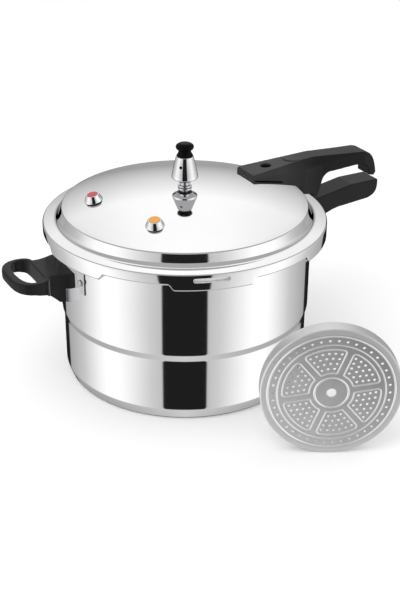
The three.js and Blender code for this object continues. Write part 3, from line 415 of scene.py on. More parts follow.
def piece(name, mesh, slot, body, nodes=(), sharp=35):
    """A piece at the origin, smooth but for its sharp edges, with its finish, riding on its body."""
    mesh.shade_smooth()
    mesh.set_sharp_from_angle(angle=math.radians(sharp))
    mesh.materials.clear()
    mesh.materials.append(slots[slot])
    made = linked(name, mesh)
    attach(made, body)
    if nodes:
        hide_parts(*nodes)
    print(name, len(mesh.polygons), "faces")
    return made


def unmirrored(made):
    """Keeps an object out of what polished metal mirrors."""
    made.visible_glossy = False


print("ready for", len(frame["nodes"]), "nodes")

# %% [markdown]
# ## Pot
# The pot is one spun shell: a bevelled heel, a lower wall, a short slope out to a slightly wider upper
# wall, and a thick rim. It could be a cylinder with loop cuts. A profile is easier to read and keeps
# the real sizes, and its slope and heel draw the grey rings round the wall.

# %% Pot shell
POT_RADIUS = 125
POT_UPPER_RADIUS = 127
POT_WALL = 2.5
POT_FLOOR = 3.5
POT_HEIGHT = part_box("pot_shell")[1].z / MM
STEP_BOTTOM = 66
STEP_TOP = 73
STEP_FILLET = 1.6
HEEL_INSET = 4
HEEL_HEIGHT = 11
HEEL_FILLET = 3
BASE_INSET = 2
BASE_LIFT = 0.8
RIM_RADIUS = 130
RIM_DEPTH = 5
RIM_SLOPE = 3
EDGE_FILLET = 1

upper_inside = POT_UPPER_RADIUS - POT_WALL
lower_inside = POT_RADIUS - POT_WALL
pot_profile = rounded([
    (0, 0),
    (POT_RADIUS - HEEL_INSET - BASE_INSET, 0, EDGE_FILLET),
    (POT_RADIUS - HEEL_INSET, BASE_LIFT, EDGE_FILLET),
    (POT_RADIUS, HEEL_HEIGHT, HEEL_FILLET),
    (POT_RADIUS, STEP_BOTTOM, STEP_FILLET),
    (POT_UPPER_RADIUS, STEP_TOP, STEP_FILLET),
    (POT_UPPER_RADIUS, POT_HEIGHT - RIM_DEPTH - RIM_SLOPE, 1.5 * EDGE_FILLET),
    (RIM_RADIUS, POT_HEIGHT - RIM_DEPTH, EDGE_FILLET),
    (RIM_RADIUS, POT_HEIGHT, EDGE_FILLET),
    (upper_inside, POT_HEIGHT, EDGE_FILLET),
    (upper_inside, STEP_TOP, STEP_FILLET),
    (lower_inside, STEP_BOTTOM, STEP_FILLET),
    (lower_inside, HEEL_HEIGHT + POT_FLOOR, HEEL_FILLET + EDGE_FILLET),
    (lower_inside - HEEL_INSET, POT_FLOOR, 2 * EDGE_FILLET),
    (0, POT_FLOOR),
])
piece("pot_body", lathe("pot_body", pot_profile, 192), "polished_aluminium", "pot", ["pot_shell"])

# %% [markdown]
# ## What repeats round an axis
# Lugs, jets, rivets and the sectors of the rack repeat round an axis. Each could be copied by a loop. A
# Geometry Nodes tree instances one of them instead, so the count and the phase stay inputs, and the
# result is made a plain mesh.

# %% Trees
FLOAT = "NodeSocketFloat"
COUNT = "NodeSocketInt"


def new_tree(name, inputs):
    """A Geometry Nodes tree with named inputs, and wires at those inputs by name."""
    tree = bpy.data.node_groups.new(name, "GeometryNodeTree")
    tree.interface.new_socket(name="Geometry", in_out="INPUT", socket_type="NodeSocketGeometry")
    for label, kind in inputs.items():
        tree.interface.new_socket(name=label, in_out="INPUT", socket_type=kind)
    tree.interface.new_socket(name="Geometry", in_out="OUTPUT", socket_type="NodeSocketGeometry")
    entry = tree.nodes.new("NodeGroupInput")
    return tree, {socket.name: Wire(tree, socket) for socket in entry.outputs if socket.name}


def end_tree(wire, material):
    """Realizes a tree's instances, sets their material and ends the tree."""
    real = wire.node("GeometryNodeRealizeInstances", inputs={"Geometry": wire})
    dressed = wire.node("GeometryNodeSetMaterial", inputs={"Geometry": real, "Material": material})
    wire.node("NodeGroupOutput", inputs={"Geometry": dressed})


def plain_mesh(name, holder):
    """The holder's evaluated shape as a mesh of its own. The holder is removed."""
    evaluated = holder.evaluated_get(bpy.context.evaluated_depsgraph_get())
    mesh = bpy.data.meshes.new_from_object(evaluated)
    mesh.name = name
    bpy.data.objects.remove(holder)
    return mesh


def run_tree(name, tree, source, values):
    """Runs a tree on a mesh or curve with its inputs set, and returns a plain mesh."""
    holder = linked(name, source)
    modifier = holder.modifiers.new("tree", "NODES")
    modifier.node_group = tree
    for item in tree.interface.items_tree:
        if item.in_out == "INPUT" and item.name in values:
            modifier[item.identifier] = values[item.name]
    return plain_mesh(name, holder)


print("tree inputs are", FLOAT, "or", COUNT)


# %% Copies round an axis
def instances(points, thing, angle):
    """A thing on each point, turned round Z by an angle."""
    turn = angle.node("ShaderNodeCombineXYZ", inputs={"Z": angle})
    inputs = {"Points": points, "Instance": thing, "Rotation": turn}
    return angle.node("GeometryNodeInstanceOnPoints", inputs=inputs)


def copies_round_axis(given, thing):
    """Instances of a thing, as many as Count says, turned evenly round Z from Phase on."""
    count = given["Count"]
    index = count.node("GeometryNodeInputIndex")
    angle = index * (2 * math.pi) / count + given["Phase"]
    points = angle.node("GeometryNodePoints", inputs={"Count": count})
    return instances(points, thing, angle)


def axis_tree(name, material):
    tree, given = new_tree(name, {"Count": COUNT, "Phase": FLOAT})
    end_tree(copies_round_axis(given, given["Geometry"]), material)
    print(name, "takes", sorted(given))
    return tree


print("copies stand evenly round Z, from a phase on")


# %% [markdown]
# ## Bayonet lugs
# Six lugs stand out of the pot's rim, and the lid's tabs turn in under them. They could be cut from a
# wide flange. One lug is swept through its angle instead, which gives it closed ends, and the tree
# repeats it.

# %% Pot lugs
LUG_COUNT = 6
LUG_SPAN = 26
LUG_RADIUS = 137.5
LUG_THICKNESS = 4
LUG_OVERLAP = 1
LUG_FILLET = 0.8
LUG_STEPS = 10
BAYONET_PHASE = 13.5


def round_wall(name, profile, span, steps):
    """A profile swept through an angle in degrees, centred on +X, with closed ends."""
    made = bmesh.new()
    angles = [math.radians(span * (step / steps - 0.5)) for step in range(steps + 1)]
    return swept(name, made, [column(made, profile, angle) for angle in angles])


lug_profile = rounded([
    (POT_UPPER_RADIUS - LUG_OVERLAP, POT_HEIGHT - LUG_THICKNESS),
    (LUG_RADIUS, POT_HEIGHT - LUG_THICKNESS, LUG_FILLET),
    (LUG_RADIUS, POT_HEIGHT, LUG_FILLET),
    (POT_UPPER_RADIUS - LUG_OVERLAP, POT_HEIGHT),
], 3)
lugs = run_tree(
    "pot_lugs",
    axis_tree("lugs round the rim", polished),
    round_wall("lug", lug_profile, LUG_SPAN, LUG_STEPS),
    {"Count": LUG_COUNT, "Phase": math.radians(BAYONET_PHASE)},
)
piece("pot_lugs", lugs, "polished_aluminium", "pot")

# %% [markdown]
# ## Lid
# The lid could be spun like the pot, but its skirt isn't round: six tabs hang lower and reach in under
# the lugs, and one tab has a long window that shows the gasket. So the profile is worked out anew for
# each angle. A smooth step carries the skirt's edge from gap to tab, and in the window's stretch the
# skirt is left open.

# %% Lid sizes
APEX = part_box("lid_shell")[1].z / MM
LID_SHEET = 3
CROWN_RADIUS = 123.5
CROWN_RISE = 17
CROWN_SPHERE = (CROWN_RADIUS**2 + CROWN_RISE**2) / (2 * CROWN_RISE)
CROWN_EDGE = APEX - CROWN_RISE
CROWN_STEPS = 16
LID_WALL_RADIUS = 128
FLANGE_ROOT = CROWN_EDGE - 11
FLANGE_EDGE = FLANGE_ROOT - 2
FLANGE_UNDER = FLANGE_EDGE - LID_SHEET
SKIRT_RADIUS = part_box("lid_shell")[1].x / MM
SKIRT_INNER = SKIRT_RADIUS - LID_SHEET
SKIRT_CHAMFER = 1.4
LIP_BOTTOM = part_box("lid_shell")[0].z / MM
LIP_INNER = 130.6
LIP_FILLET = 0.6
TAB_DROP = 6
TAB_SPAN = 32
TAB_SLOPE = 2.6
WINDOW_ANGLE = BAYONET_PHASE + 240 - 1
WINDOW_SPAN = 14
WINDOW_HEIGHT = 4.6
WINDOW_MIDDLE = FLANGE_UNDER - 0.3 - WINDOW_HEIGHT / 2
WINDOW_END = math.degrees(WINDOW_HEIGHT / 2 / SKIRT_RADIUS)
print("the crown is part of a ball of", round(CROWN_SPHERE), "mm radius")


# %% Lid's rules
def crown_height(radius, sphere=CROWN_SPHERE):
    return APEX - CROWN_SPHERE + math.sqrt(sphere**2 - radius**2)


def tab_share(angle):
    """1 where a tab hangs, 0 in a gap, with a smooth step between."""
    pitch = 360 / LUG_COUNT
    off = abs((angle - BAYONET_PHASE + pitch / 2) % pitch - pitch / 2)
    share = min(max((TAB_SPAN / 2 - off) / TAB_SLOPE + 0.5, 0), 1)
    return share * share * (3 - 2 * share)


def window_half_height(angle):
    """Half the window's height at an angle, 0 outside it. Its ends are round."""
    off = abs(angle - WINDOW_ANGLE)
    if off >= WINDOW_SPAN / 2:
        return 0.0
    into_end = max(off - (WINDOW_SPAN / 2 - WINDOW_END), 0) / WINDOW_END
    return WINDOW_HEIGHT / 2 * math.sqrt(1 - into_end**2)


def lid_angles():
    """Even steps, with finer ones at the tabs' edges and the window's ends."""
    angles = {round(step * 1.5, 3) for step in range(240)}
    for tab in range(LUG_COUNT):
        for side in (-1, 1):
            edge = BAYONET_PHASE + 60 * tab + side * TAB_SPAN / 2
            angles.update(round((edge + 0.15 * step) % 360, 3) for step in range(-10, 11))
    for side in (-1, 1):
        end = WINDOW_ANGLE + side * WINDOW_SPAN / 2
        for step in range(9):
            into = WINDOW_END * (1 - math.cos(step / 8 * math.pi / 2))
            angles.add(round(end - side * into, 3))
    return sorted(angles)


print("the lid has", len(lid_angles()), "sections")


# %% Lid's section
def lid_column(angle):
    """The lid's section at an angle, with the places of the window's four edges in it."""
    share = tab_share(angle)
    bottom = LIP_BOTTOM + TAB_DROP * (1 - share)
    lip = SKIRT_INNER + share * (LIP_INNER - SKIRT_INNER)
    half = window_half_height(angle)
    steps = CROWN_STEPS
    under_edge = CROWN_RADIUS - LID_SHEET
    under_sphere = CROWN_SPHERE - LID_SHEET
    inner = [under_edge * i / steps for i in range(steps)]
    outer = [CROWN_RADIUS * (1 - i / steps) for i in range(1, steps + 1)]
    under = [(radius, crown_height(radius, under_sphere)) for radius in inner]
    over = [(radius, crown_height(radius)) for radius in outer]
    inside = rounded([
        under[-1],
        (under_edge, crown_height(under_edge, under_sphere), 2),
        (LID_WALL_RADIUS - LID_SHEET - 0.5, FLANGE_UNDER, 1.5),
        (SKIRT_INNER, FLANGE_UNDER),
    ])[1:]
    inner_window = [(SKIRT_INNER, WINDOW_MIDDLE + half), (SKIRT_INNER, WINDOW_MIDDLE - half)]
    lip_edge = rounded([
        inner_window[1],
        (SKIRT_INNER, bottom + LID_SHEET, LIP_FILLET),
        (lip, bottom + LID_SHEET, LIP_FILLET),
        (lip, bottom, LIP_FILLET),
        (SKIRT_RADIUS - SKIRT_CHAMFER, bottom, LIP_FILLET / 2),
        (SKIRT_RADIUS, bottom + SKIRT_CHAMFER, LIP_FILLET / 2),
        (SKIRT_RADIUS, WINDOW_MIDDLE - half),
    ], 3)[1:-1]
    outer_window = [(SKIRT_RADIUS, WINDOW_MIDDLE - half), (SKIRT_RADIUS, WINDOW_MIDDLE + half)]
    outside = rounded([
        outer_window[1],
        (SKIRT_RADIUS, FLANGE_EDGE, 1.8),
        (LID_WALL_RADIUS, FLANGE_ROOT, 4),
        (CROWN_RADIUS, CROWN_EDGE, 1.1),
        over[0],
    ])[1:-1]
    section = under + inside + inner_window + lip_edge + outer_window + outside + over
    first = len(under) + len(inside)
    second = first + 2 + len(lip_edge)
    return section, (first, first + 1, second, second + 1)


print("a section of the lid has", len(lid_column(0)[0]), "points")


# %% Lid shell
def lid_mesh():
    made = bmesh.new()
    angles = lid_angles()
    columns = []
    for angle in angles:
        section, edges = lid_column(angle)
        columns.append(column(made, section, math.radians(angle)))
    inner_top, inner_low, outer_low, outer_top = edges
    for i, here in enumerate(columns):
        there = columns[(i + 1) % len(columns)]
        middle = (angles[i] + angles[(i + 1) % len(angles)]) / 2
        open_here = abs(middle - WINDOW_ANGLE) < WINDOW_SPAN / 2
        for j in range(len(here) - 1):
            if open_here and j in (inner_top, outer_low):
                continue
            made.faces.new((here[j], there[j], there[j + 1], here[j + 1]))
        if open_here:
            for a, b in ((inner_top, outer_top), (inner_low, outer_low)):
                made.faces.new((here[a], there[a], there[b], here[b]))
    return closed_mesh("lid_shell_smooth", made)


piece("lid_body", lid_mesh(), "polished_aluminium", "lid", ["lid_shell"], sharp=30)

# %% [markdown]
# ## Gasket
# The gasket is a silicone ring with a C-shaped section, open to the inside so that pressure spreads its
# lips. Only a sliver of it shows, through the window, so a plain ring would do. Turning its true
# section is as short, and the ring then looks right when the lid is off.

# %% Gasket
gasket_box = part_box("sealing_gasket")
gasket_low = gasket_box[0].z / MM
gasket_high = gasket_box[1].z / MM
gasket_radius = gasket_box[1].x / MM
GASKET_INNER = 125.3
GASKET_LOWER_INNER = GASKET_INNER + 1
GASKET_LIP = 1.8
GASKET_WEB = 4
LIP_ROUND = 0.6
GROOVE_ROUND = 0.4
BACK_ROUND = 0.8
gasket_profile = rounded([
    (GASKET_INNER, gasket_high, LIP_ROUND),
    (GASKET_INNER, gasket_high - GASKET_LIP, LIP_ROUND),
    (gasket_radius - GASKET_WEB, gasket_high - GASKET_LIP, GROOVE_ROUND),
    (gasket_radius - GASKET_WEB, gasket_low + GASKET_LIP, GROOVE_ROUND),
    (GASKET_LOWER_INNER, gasket_low + GASKET_LIP, LIP_ROUND),
    (GASKET_LOWER_INNER, gasket_low, LIP_ROUND),
    (gasket_radius, gasket_low, BACK_ROUND),
    (gasket_radius, gasket_high, BACK_ROUND),
], 3)
piece("gasket", lathe("gasket", gasket_profile, 144), "white_silicone", "lid", ["sealing_gasket"])

# %% [markdown]
# ## Regulator weight
# The weight rocks on the vent pipe and lets steam out through small jets in its side. It is turned from
# brass and chromed. The jets could be painted as dots. They are bored with a Boolean, because holes in
# a turned piece are drilled after turning, and a real hole stays dark from every side.

# %% Weight sizes
weight_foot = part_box("regulator_weight")[0].z / MM
knob_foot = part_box("regulator_knob")[0].z / MM
knob_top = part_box("regulator_knob")[1].z / MM
weight_top = knob_foot - 0.3
WEIGHT_RADIUS = 13.3
WEIGHT_TOP_RADIUS = 8.7
WEIGHT_FOOT_RADIUS = 8
WEIGHT_BAND_LOW = 3.4
WEIGHT_BAND_TOP = 5.8
WEIGHT_BORE = 5.2
WEIGHT_ROOF = 7.5
JET_COUNT = 3
JET_RADIUS = 1.6
JET_HEIGHT = 17
JET_REACH = 15
JET_PHASE = 221
print("the weight is", round(weight_top - weight_foot, 1), "mm tall")


# %% Regulator weight
def bored(name, mesh, cutters):
    """A mesh with other meshes cut out of it."""
    holder = linked(name, mesh)
    tools = [linked("cutter", cutter) for cutter in cutters]
    for tool in tools:
        modifier = holder.modifiers.new("bore", "BOOLEAN")
        modifier.operation = "DIFFERENCE"
        modifier.solver = "EXACT"
        modifier.object = tool
    bpy.context.view_layer.update()
    made = plain_mesh(name, holder)
    for tool in tools:
        bpy.data.objects.remove(tool)
    return made


def rod(name, radius, low, high, steps):
    """A plain cylinder round Z."""
    return lathe(name, [(0, low), (radius, low), (radius, high), (0, high)], steps)


def lying_at(height):
    """Lays what stands on Z along X, at a height."""
    return Matrix.Translation((0, 0, height * MM)) @ Matrix.Rotation(math.pi / 2, 4, "Y")


weight_profile = rounded([
    (0, weight_top - WEIGHT_ROOF),
    (WEIGHT_BORE, weight_top - WEIGHT_ROOF, 0.5),
    (WEIGHT_BORE, weight_foot, 0.3),
    (WEIGHT_FOOT_RADIUS, weight_foot, 0.6),
    (WEIGHT_RADIUS, weight_foot + WEIGHT_BAND_LOW, 1.2),
    (WEIGHT_RADIUS, weight_foot + WEIGHT_BAND_TOP, 1.2),
    (WEIGHT_TOP_RADIUS, weight_top, 0.7),
    (0, weight_top),
])
jet_drill = rod("jet", JET_RADIUS, WEIGHT_BORE - 1, JET_REACH, 20)
jet_drill.transform(lying_at(weight_foot + JET_HEIGHT))
jet_values = {"Count": JET_COUNT, "Phase": math.radians(JET_PHASE)}
jets = run_tree("jets", axis_tree("jets round the weight", chrome), jet_drill, jet_values)
weight = bored("weight", lathe("weight", weight_profile, 96), [jets])
piece("regulator_weight_turned", weight, "chrome", "regulator", ["regulator_weight"], sharp=30)

# %% [markdown]
# ## Weight's finish
# The bore and the jets get painted shade: they are dull and near black, since no light reaches into them.
# Their faces could get a second material by hand. A mask is steadier: it takes what lies near the jets'
# height and under the cone's surface, or close to the axis.

# %% Weight's finish
JET_SHADE_REACH = (2.4, 2.6)
UNDER_SURFACE = (0.3, 0.5)
BORE_SHADE = (7.8, 8)
# Near black for the painted shade in the bore and the jets.
SHADE_BLACK = (0.015, 0.015, 0.015, 1)


def bright_chrome(place):
    """Chrome's colour and roughness."""
    cloud = noise(place, CLOUD_SCALE)
    return tinted(cloud, *CHROME_TINTS), cloud * 0.02 + 0.03


def in_metres(limits):
    return [limit * MM for limit in limits]


def weight_metal():
    """Chrome with painted shade, dull and near black, in the bore and the jets."""
    material, shader, place = blank_material("weight_chrome")
    radius, height = from_axis(place)
    off_jets = abs(height - (weight_foot + JET_HEIGHT) * MM)
    taper = (WEIGHT_RADIUS - WEIGHT_TOP_RADIUS) / (weight_top - weight_foot - WEIGHT_BAND_TOP)
    cone = (WEIGHT_RADIUS + taper * (weight_foot + WEIGHT_BAND_TOP)) * MM - height * taper
    # Painted shade: the jets and the bore turn dull and near black.
    at_jets = step_down(off_jets, *in_metres(JET_SHADE_REACH))
    at_jets = at_jets * step_up(cone - radius, *in_metres(UNDER_SURFACE))
    painted_shade = at_jets.maths("MAXIMUM", at_jets, step_down(radius, *in_metres(BORE_SHADE)))
    bright, roughness = bright_chrome(place)
    feed(shader, "Base Color", mixed(painted_shade, bright, SHADE_BLACK))
    feed(shader, "Metallic", 1 - painted_shade)
    feed(shader, "Roughness", roughness + painted_shade * 0.5)
    return material


weight.materials[0] = weight_metal()
print("the weight has", len(weight.materials[0].node_tree.nodes), "shader nodes")

# %% [markdown]
# ## Knob and vent pipe
# The knob is a small moulding that keeps fingers off the hot weight, and the weight hangs over the vent
# pipe. Both are round, so both are turned like the weight. The knob is a deeper black than the handles.

# %% Knob and vent pipe
PIPE_RADIUS = 4.6
PIPE_BORE = 1.6
COLLAR_RADIUS = 7
COLLAR_LOW = APEX + 0.3
COLLAR_HIGH = APEX + 2.3
KNOB_FOOT_RADIUS = 8.4
KNOB_HEAD_RADIUS = 9
KNOB_BLACKS = ((0.002, 0.002, 0.002), (0.005, 0.005, 0.005))
knob_height = knob_top - knob_foot
pipe_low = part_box("vent_pipe")[0].z / MM
pipe_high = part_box("vent_pipe")[1].z / MM

knob_profile = rounded([
    (0, knob_foot),
    (KNOB_FOOT_RADIUS, knob_foot, 0.4),
    (6.6, knob_foot + 0.24 * knob_height, 1.5),
    (6, knob_foot + 0.42 * knob_height, 1.2),
    (KNOB_HEAD_RADIUS, knob_foot + 0.58 * knob_height, 2),
    (KNOB_HEAD_RADIUS, knob_foot + 0.82 * knob_height, 2),
    (5.5, knob_top, 3.5),
    (0, knob_top),
])
pipe_profile = rounded([
    (PIPE_BORE, pipe_low),
    (PIPE_RADIUS, pipe_low, 0.4),
    (PIPE_RADIUS, COLLAR_LOW),
    (COLLAR_RADIUS, COLLAR_LOW, 0.4),
    (COLLAR_RADIUS, COLLAR_HIGH, 0.4),
    (PIPE_RADIUS, COLLAR_HIGH, 0.4),
    (PIPE_RADIUS, pipe_high, 1),
    (PIPE_BORE, pipe_high, 0.8),
], 3)
knob = lathe("knob", knob_profile, 72)
piece("regulator_knob_moulded", knob, "bakelite", "regulator", ["regulator_knob"])
knob.materials[0] = moulded("knob_bakelite", *KNOB_BLACKS, **RESIN, sheen=0.06)
piece("vent_pipe_turned", lathe("vent_pipe_turned", pipe_profile, 64), "steel", "lid", ["vent_pipe"])

# %% [markdown]
# ## Safety valves
# Each valve is a round chromed nut with a coloured silicone plug in it. It stands square to the crown,
# so it is turned upright at the origin and then tilted into place. Under its widest edge a nut mirrors
# only the shade between it and the lid. The studio can't give that shade to such small pieces, so a
# black band in the finish does.

# %% Valve shapes
VALVE_RADIUS_ON_LID = CROWN_RADIUS - 32
VALVES = {"red": (168.7, "red_silicone"), "yellow": (225.1, "amber_silicone")}
VALVE_NUT_RADIUS = 9.2
VALVE_NUT_HEIGHT = 11.4
NUT_GAP = 0.3
NUT_FOOT_RADIUS = 7.4
NUT_TOP_RADIUS = 6.4
NUT_BAND_LOW = 2
NUT_BAND_HIGH = 4.9
NUT_BAND_COLOUR = (0.03, 0.03, 0.03, 1)
PLUG_RADIUS = 5.3
PLUG_FOOT = 5.9

nut_profile = rounded([
    (PLUG_RADIUS + NUT_GAP, NUT_GAP),
    (NUT_FOOT_RADIUS, NUT_GAP, 0.3),
    (NUT_FOOT_RADIUS + 0.5, NUT_BAND_LOW, 0.4),
    (VALVE_NUT_RADIUS, NUT_BAND_HIGH, 1),
    (VALVE_NUT_RADIUS - 0.2, NUT_BAND_HIGH + 0.9, 1),
    (NUT_TOP_RADIUS, VALVE_NUT_HEIGHT, 0.4),
    (PLUG_RADIUS + NUT_GAP, VALVE_NUT_HEIGHT, 0.2),
])
plug_profile = rounded([
    (0, PLUG_FOOT),
    (PLUG_RADIUS, PLUG_FOOT, 0.4),
    (PLUG_RADIUS, VALVE_NUT_HEIGHT + 0.5, 0.5),
    (0, VALVE_NUT_HEIGHT + 0.8),
])
print("profiles of", len(nut_profile), "and", len(plug_profile), "points")


# %% Valves
def on_crown(radius, degrees):
    """The place on the crown at a distance and angle, with Z square to the surface."""
    turn = Matrix.Rotation(math.radians(degrees), 4, "Z")
    tilt = Matrix.Rotation(math.asin(radius / CROWN_SPHERE), 4, "Y")
    return turn @ Matrix.Translation((radius * MM, 0, crown_height(radius) * MM)) @ tilt


def nut_metal(name, seat):
    """Chrome with a black band under the nut's widest edge. The seat is the nut's place on the crown."""
    material, shader, place = blank_material(name)
    axis = seat.to_3x3() @ Vector((0, 0, 1))
    height = (along(place, axis) - seat.translation.dot(axis)) / MM
    band = step_up(height, NUT_BAND_LOW, NUT_BAND_LOW + 0.3)
    band = band * step_down(height, NUT_BAND_HIGH - 0.5, NUT_BAND_HIGH)
    bright, roughness = bright_chrome(place)
    feed(shader, "Base Color", mixed(band, bright, NUT_BAND_COLOUR))
    feed(shader, "Metallic", 1.0)
    feed(shader, "Roughness", roughness)
    return material


for colour, (degrees, slot) in VALVES.items():
    seat = on_crown(VALVE_RADIUS_ON_LID, degrees)
    nut = lathe(f"{colour}_nut", nut_profile, 72)
    nut.transform(seat)
    unmirrored(piece(f"{colour}_nut_turned", nut, "chrome", "lid", [f"{colour}_valve_nut"]))
    nut.materials[0] = nut_metal(f"{colour}_nut_chrome", seat)
    plug = lathe(f"{colour}_plug", plug_profile, 56)
    plug.transform(seat)
    unmirrored(piece(f"{colour}_plug_moulded", plug, slot, f"{colour}_plug", [f"{colour}_valve_plug"]))

# %% [markdown]
# ## Handles
# The handles are pressed mouldings, so no edge of theirs is sharp. They could be modelled anew, but the
# packed model already has their outlines. A copy is remeshed into small even faces and smoothed a
# little, which rounds every edge by about a millimetre. In the picture the metal doesn't mirror them,
# so mirror rays pass them by.


# %% Softening
def joined(name, meshes):
    """Several meshes in one, with nothing merged between them."""
    made = bmesh.new()
    for mesh in meshes:
        made.from_mesh(mesh)
    joint = bpy.data.meshes.new(name)
    made.to_mesh(joint)
    made.free()
    return joint


def softened(name, node, voxel, rounds, fillings=()):
    """A CAD node's shape with its edges rounded, and with other meshes added to it."""
    made = bmesh.new()
    made.from_mesh(joined(name, [frame["nodes"][node].data, *fillings]))
    bmesh.ops.remove_doubles(made, verts=made.verts, dist=MERGE_DISTANCE)
    mesh = bpy.data.meshes.new(name)
    made.to_mesh(mesh)
    made.free()
    holder = linked(name, mesh)
    remesh = holder.modifiers.new("remesh", "REMESH")
    remesh.mode = "VOXEL"
    remesh.voxel_size = voxel * MM
    smooth = holder.modifiers.new("smooth", "SMOOTH")
    smooth.factor = 0.5
    smooth.iterations = rounds
    return plain_mesh(name, holder)


HANDLES = {"lid_handle": ("lid", 0.5, 6), "pot_handle": ("pot", 0.6, 14), "helper_handle": ("pot", 0.6, 22)}
BOTH_HANDS = (1, -1)
print("handles and their bodies, voxels and rounds", HANDLES)

# %% [markdown]
# ## Tongue of the lid handle
# The tongue lies on the crown. Its tip has full corners, where the packed one is cut off, a screw sits
# in a wide black hole, and a thin slit runs along each flank. The corners are filled before the remesh,
# which fuses them. The slits and the hole are cut after it, because smoothing would close them.

# %% Tongue
SLIT_START = 1.6
SLIT_LENGTH = 35
SLIT_HEIGHT = 1.7
SLIT_DEPTH = 4.5
SLIT_DIP = 1.2
SLIT_LIFT = 3
CUT_PAST = 3
TIP_HALF_WIDTH = 17
TIP_CORNER = 5
TIP_HEIGHT = 9.4
TIP_GAP = 0.75
TIP_BEVEL = (1.5, 3)
TOP_SLOPE = 0.083
SCREW_HOLE_RADIUS = 6
tongue_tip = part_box("lid_handle")[0].x / MM
tongue_half_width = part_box("lid_handle")[1].y / MM
tip_top = crown_height(tongue_tip) + TIP_HEIGHT
screw_low, screw_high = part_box("lid_handle_screw")
screw_x = (screw_low.x + screw_high.x) / 2 / MM
screw_hole_floor = screw_high.z / MM - 2.9
print("the tongue's tip stands", round(tip_top, 1), "mm up")


# %% Cuts and fillings of the tongue
def slit_cutter(hand):
    """A thin bar that runs along one flank of the tongue, a little above the crown."""
    made = bmesh.new()
    rings = []
    for x in (tongue_tip + SLIT_START, tongue_tip + SLIT_LENGTH / 2, tongue_tip + SLIT_LENGTH):
        low = crown_height(x) + SLIT_LIFT
        high = low + SLIT_HEIGHT
        section = [(-SLIT_DEPTH, low - SLIT_DIP), (0, low), (CUT_PAST, low)]
        section += [(CUT_PAST, high), (-SLIT_DEPTH, high)]
        places = [(x * MM, hand * (tongue_half_width + across) * MM, z * MM) for across, z in section]
        rings.append([made.verts.new(place) for place in places])
    return swept("slit", made, rings)


def tip_corner(hand):
    """The corner of the tongue's tip, which the packed handle has cut off."""
    made = bmesh.new()
    inner = TIP_HALF_WIDTH - TIP_CORNER
    across, down = TIP_BEVEL
    for x in (tongue_tip, tongue_tip + TIP_CORNER):
        top = tip_top + TOP_SLOPE * (x - tongue_tip)
        section = [
            (inner, crown_height(math.hypot(x, inner)) + TIP_GAP),
            (TIP_HALF_WIDTH, crown_height(math.hypot(x, TIP_HALF_WIDTH)) + TIP_GAP),
            (TIP_HALF_WIDTH, top - down),
            (TIP_HALF_WIDTH - across, top),
            (inner - across, top),
        ]
        for y, z in section:
            made.verts.new((x * MM, hand * y * MM, z * MM))
    bmesh.ops.convex_hull(made, input=made.verts)
    return closed_mesh("tip_corner", made)


def screw_hole():
    mesh = rod("screw_hole", SCREW_HOLE_RADIUS, screw_hole_floor, tip_top + 10, 48)
    mesh.transform(Matrix.Translation((screw_x * MM, 0, 0)))
    return mesh


print("the screw hole's floor lies", round(screw_hole_floor, 1), "mm up")

# %% [markdown]
# ## Wings of the helper bracket
# The sheet of the helper handle's bracket is bent forward on both sides and clasps the lower part of
# the root. Each wing could lie on the root's flank. The root gets room for it instead, cut by a
# slightly larger wing, so the sheet lies nearly flush as on a real moulding.

# %% Wings
root_low, root_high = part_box("helper_handle")
root_start = -root_high.x / MM
WING_TOP = root_high.z / MM - 15
WING_BOTTOM = root_low.z / MM + 0.4
WING_PATH = ((-3.6, 26.3), (5, 26.3), (9.5, 24.8))
WING_SHEET = 1.6
WING_SPARE = 0.2
WING_CUT_PAST = 5


def wing(name, hand, outside=0.0, spare=0.0):
    """One bent end of the helper handle's bracket, or the room for it in the handle's root."""
    outer = [(root_start + reach, across + outside) for reach, across in WING_PATH]
    inner = [(root_start + reach, across - WING_SHEET - spare) for reach, across in WING_PATH]
    outline = outer + inner[::-1]
    made = bmesh.new()
    rings = []
    for z in (WING_BOTTOM - 4 * spare, WING_TOP + spare):
        rings.append([made.verts.new((-x * MM, hand * y * MM, z * MM)) for x, y in outline])
    return swept(name, made, rings)


print("a wing is", round(WING_TOP - WING_BOTTOM, 1), "mm tall")

# %% [markdown]
# ## Lid handle's finish
# A painted sheen makes the tongue lighter grey, while the grip stays black. No light reaches into the screw
# hole and the slits, so painted shade makes them black. Separate materials would leave a hard line between
# tongue and grip, so one finish fades along the handle and masks the hole and the slits by their places.

# %% Lid handle's finish
TONGUE_SHEEN_GREY = (0.036, 0.036, 0.0365, 1)
GRIP_BLACK = (0.005, 0.005, 0.005, 1)
CLOUD_BLACK = (0.012, 0.012, 0.012, 1)
UNLIT_BLACK = (0.001, 0.001, 0.001, 1)
GREY_FADES = (105, 150)
HOLE_EDGE = (SCREW_HOLE_RADIUS + 0.2, SCREW_HOLE_RADIUS + 0.3)
HOLE_TOP = (tip_top, tip_top + 0.9)
SLIT_INSIDE = (16.3, 16.6)
SLIT_BEGINS = (70.6, 70.8)
SLIT_ENDS = (105, 105.2)
SLIT_TOP = (195.4, 195.6)


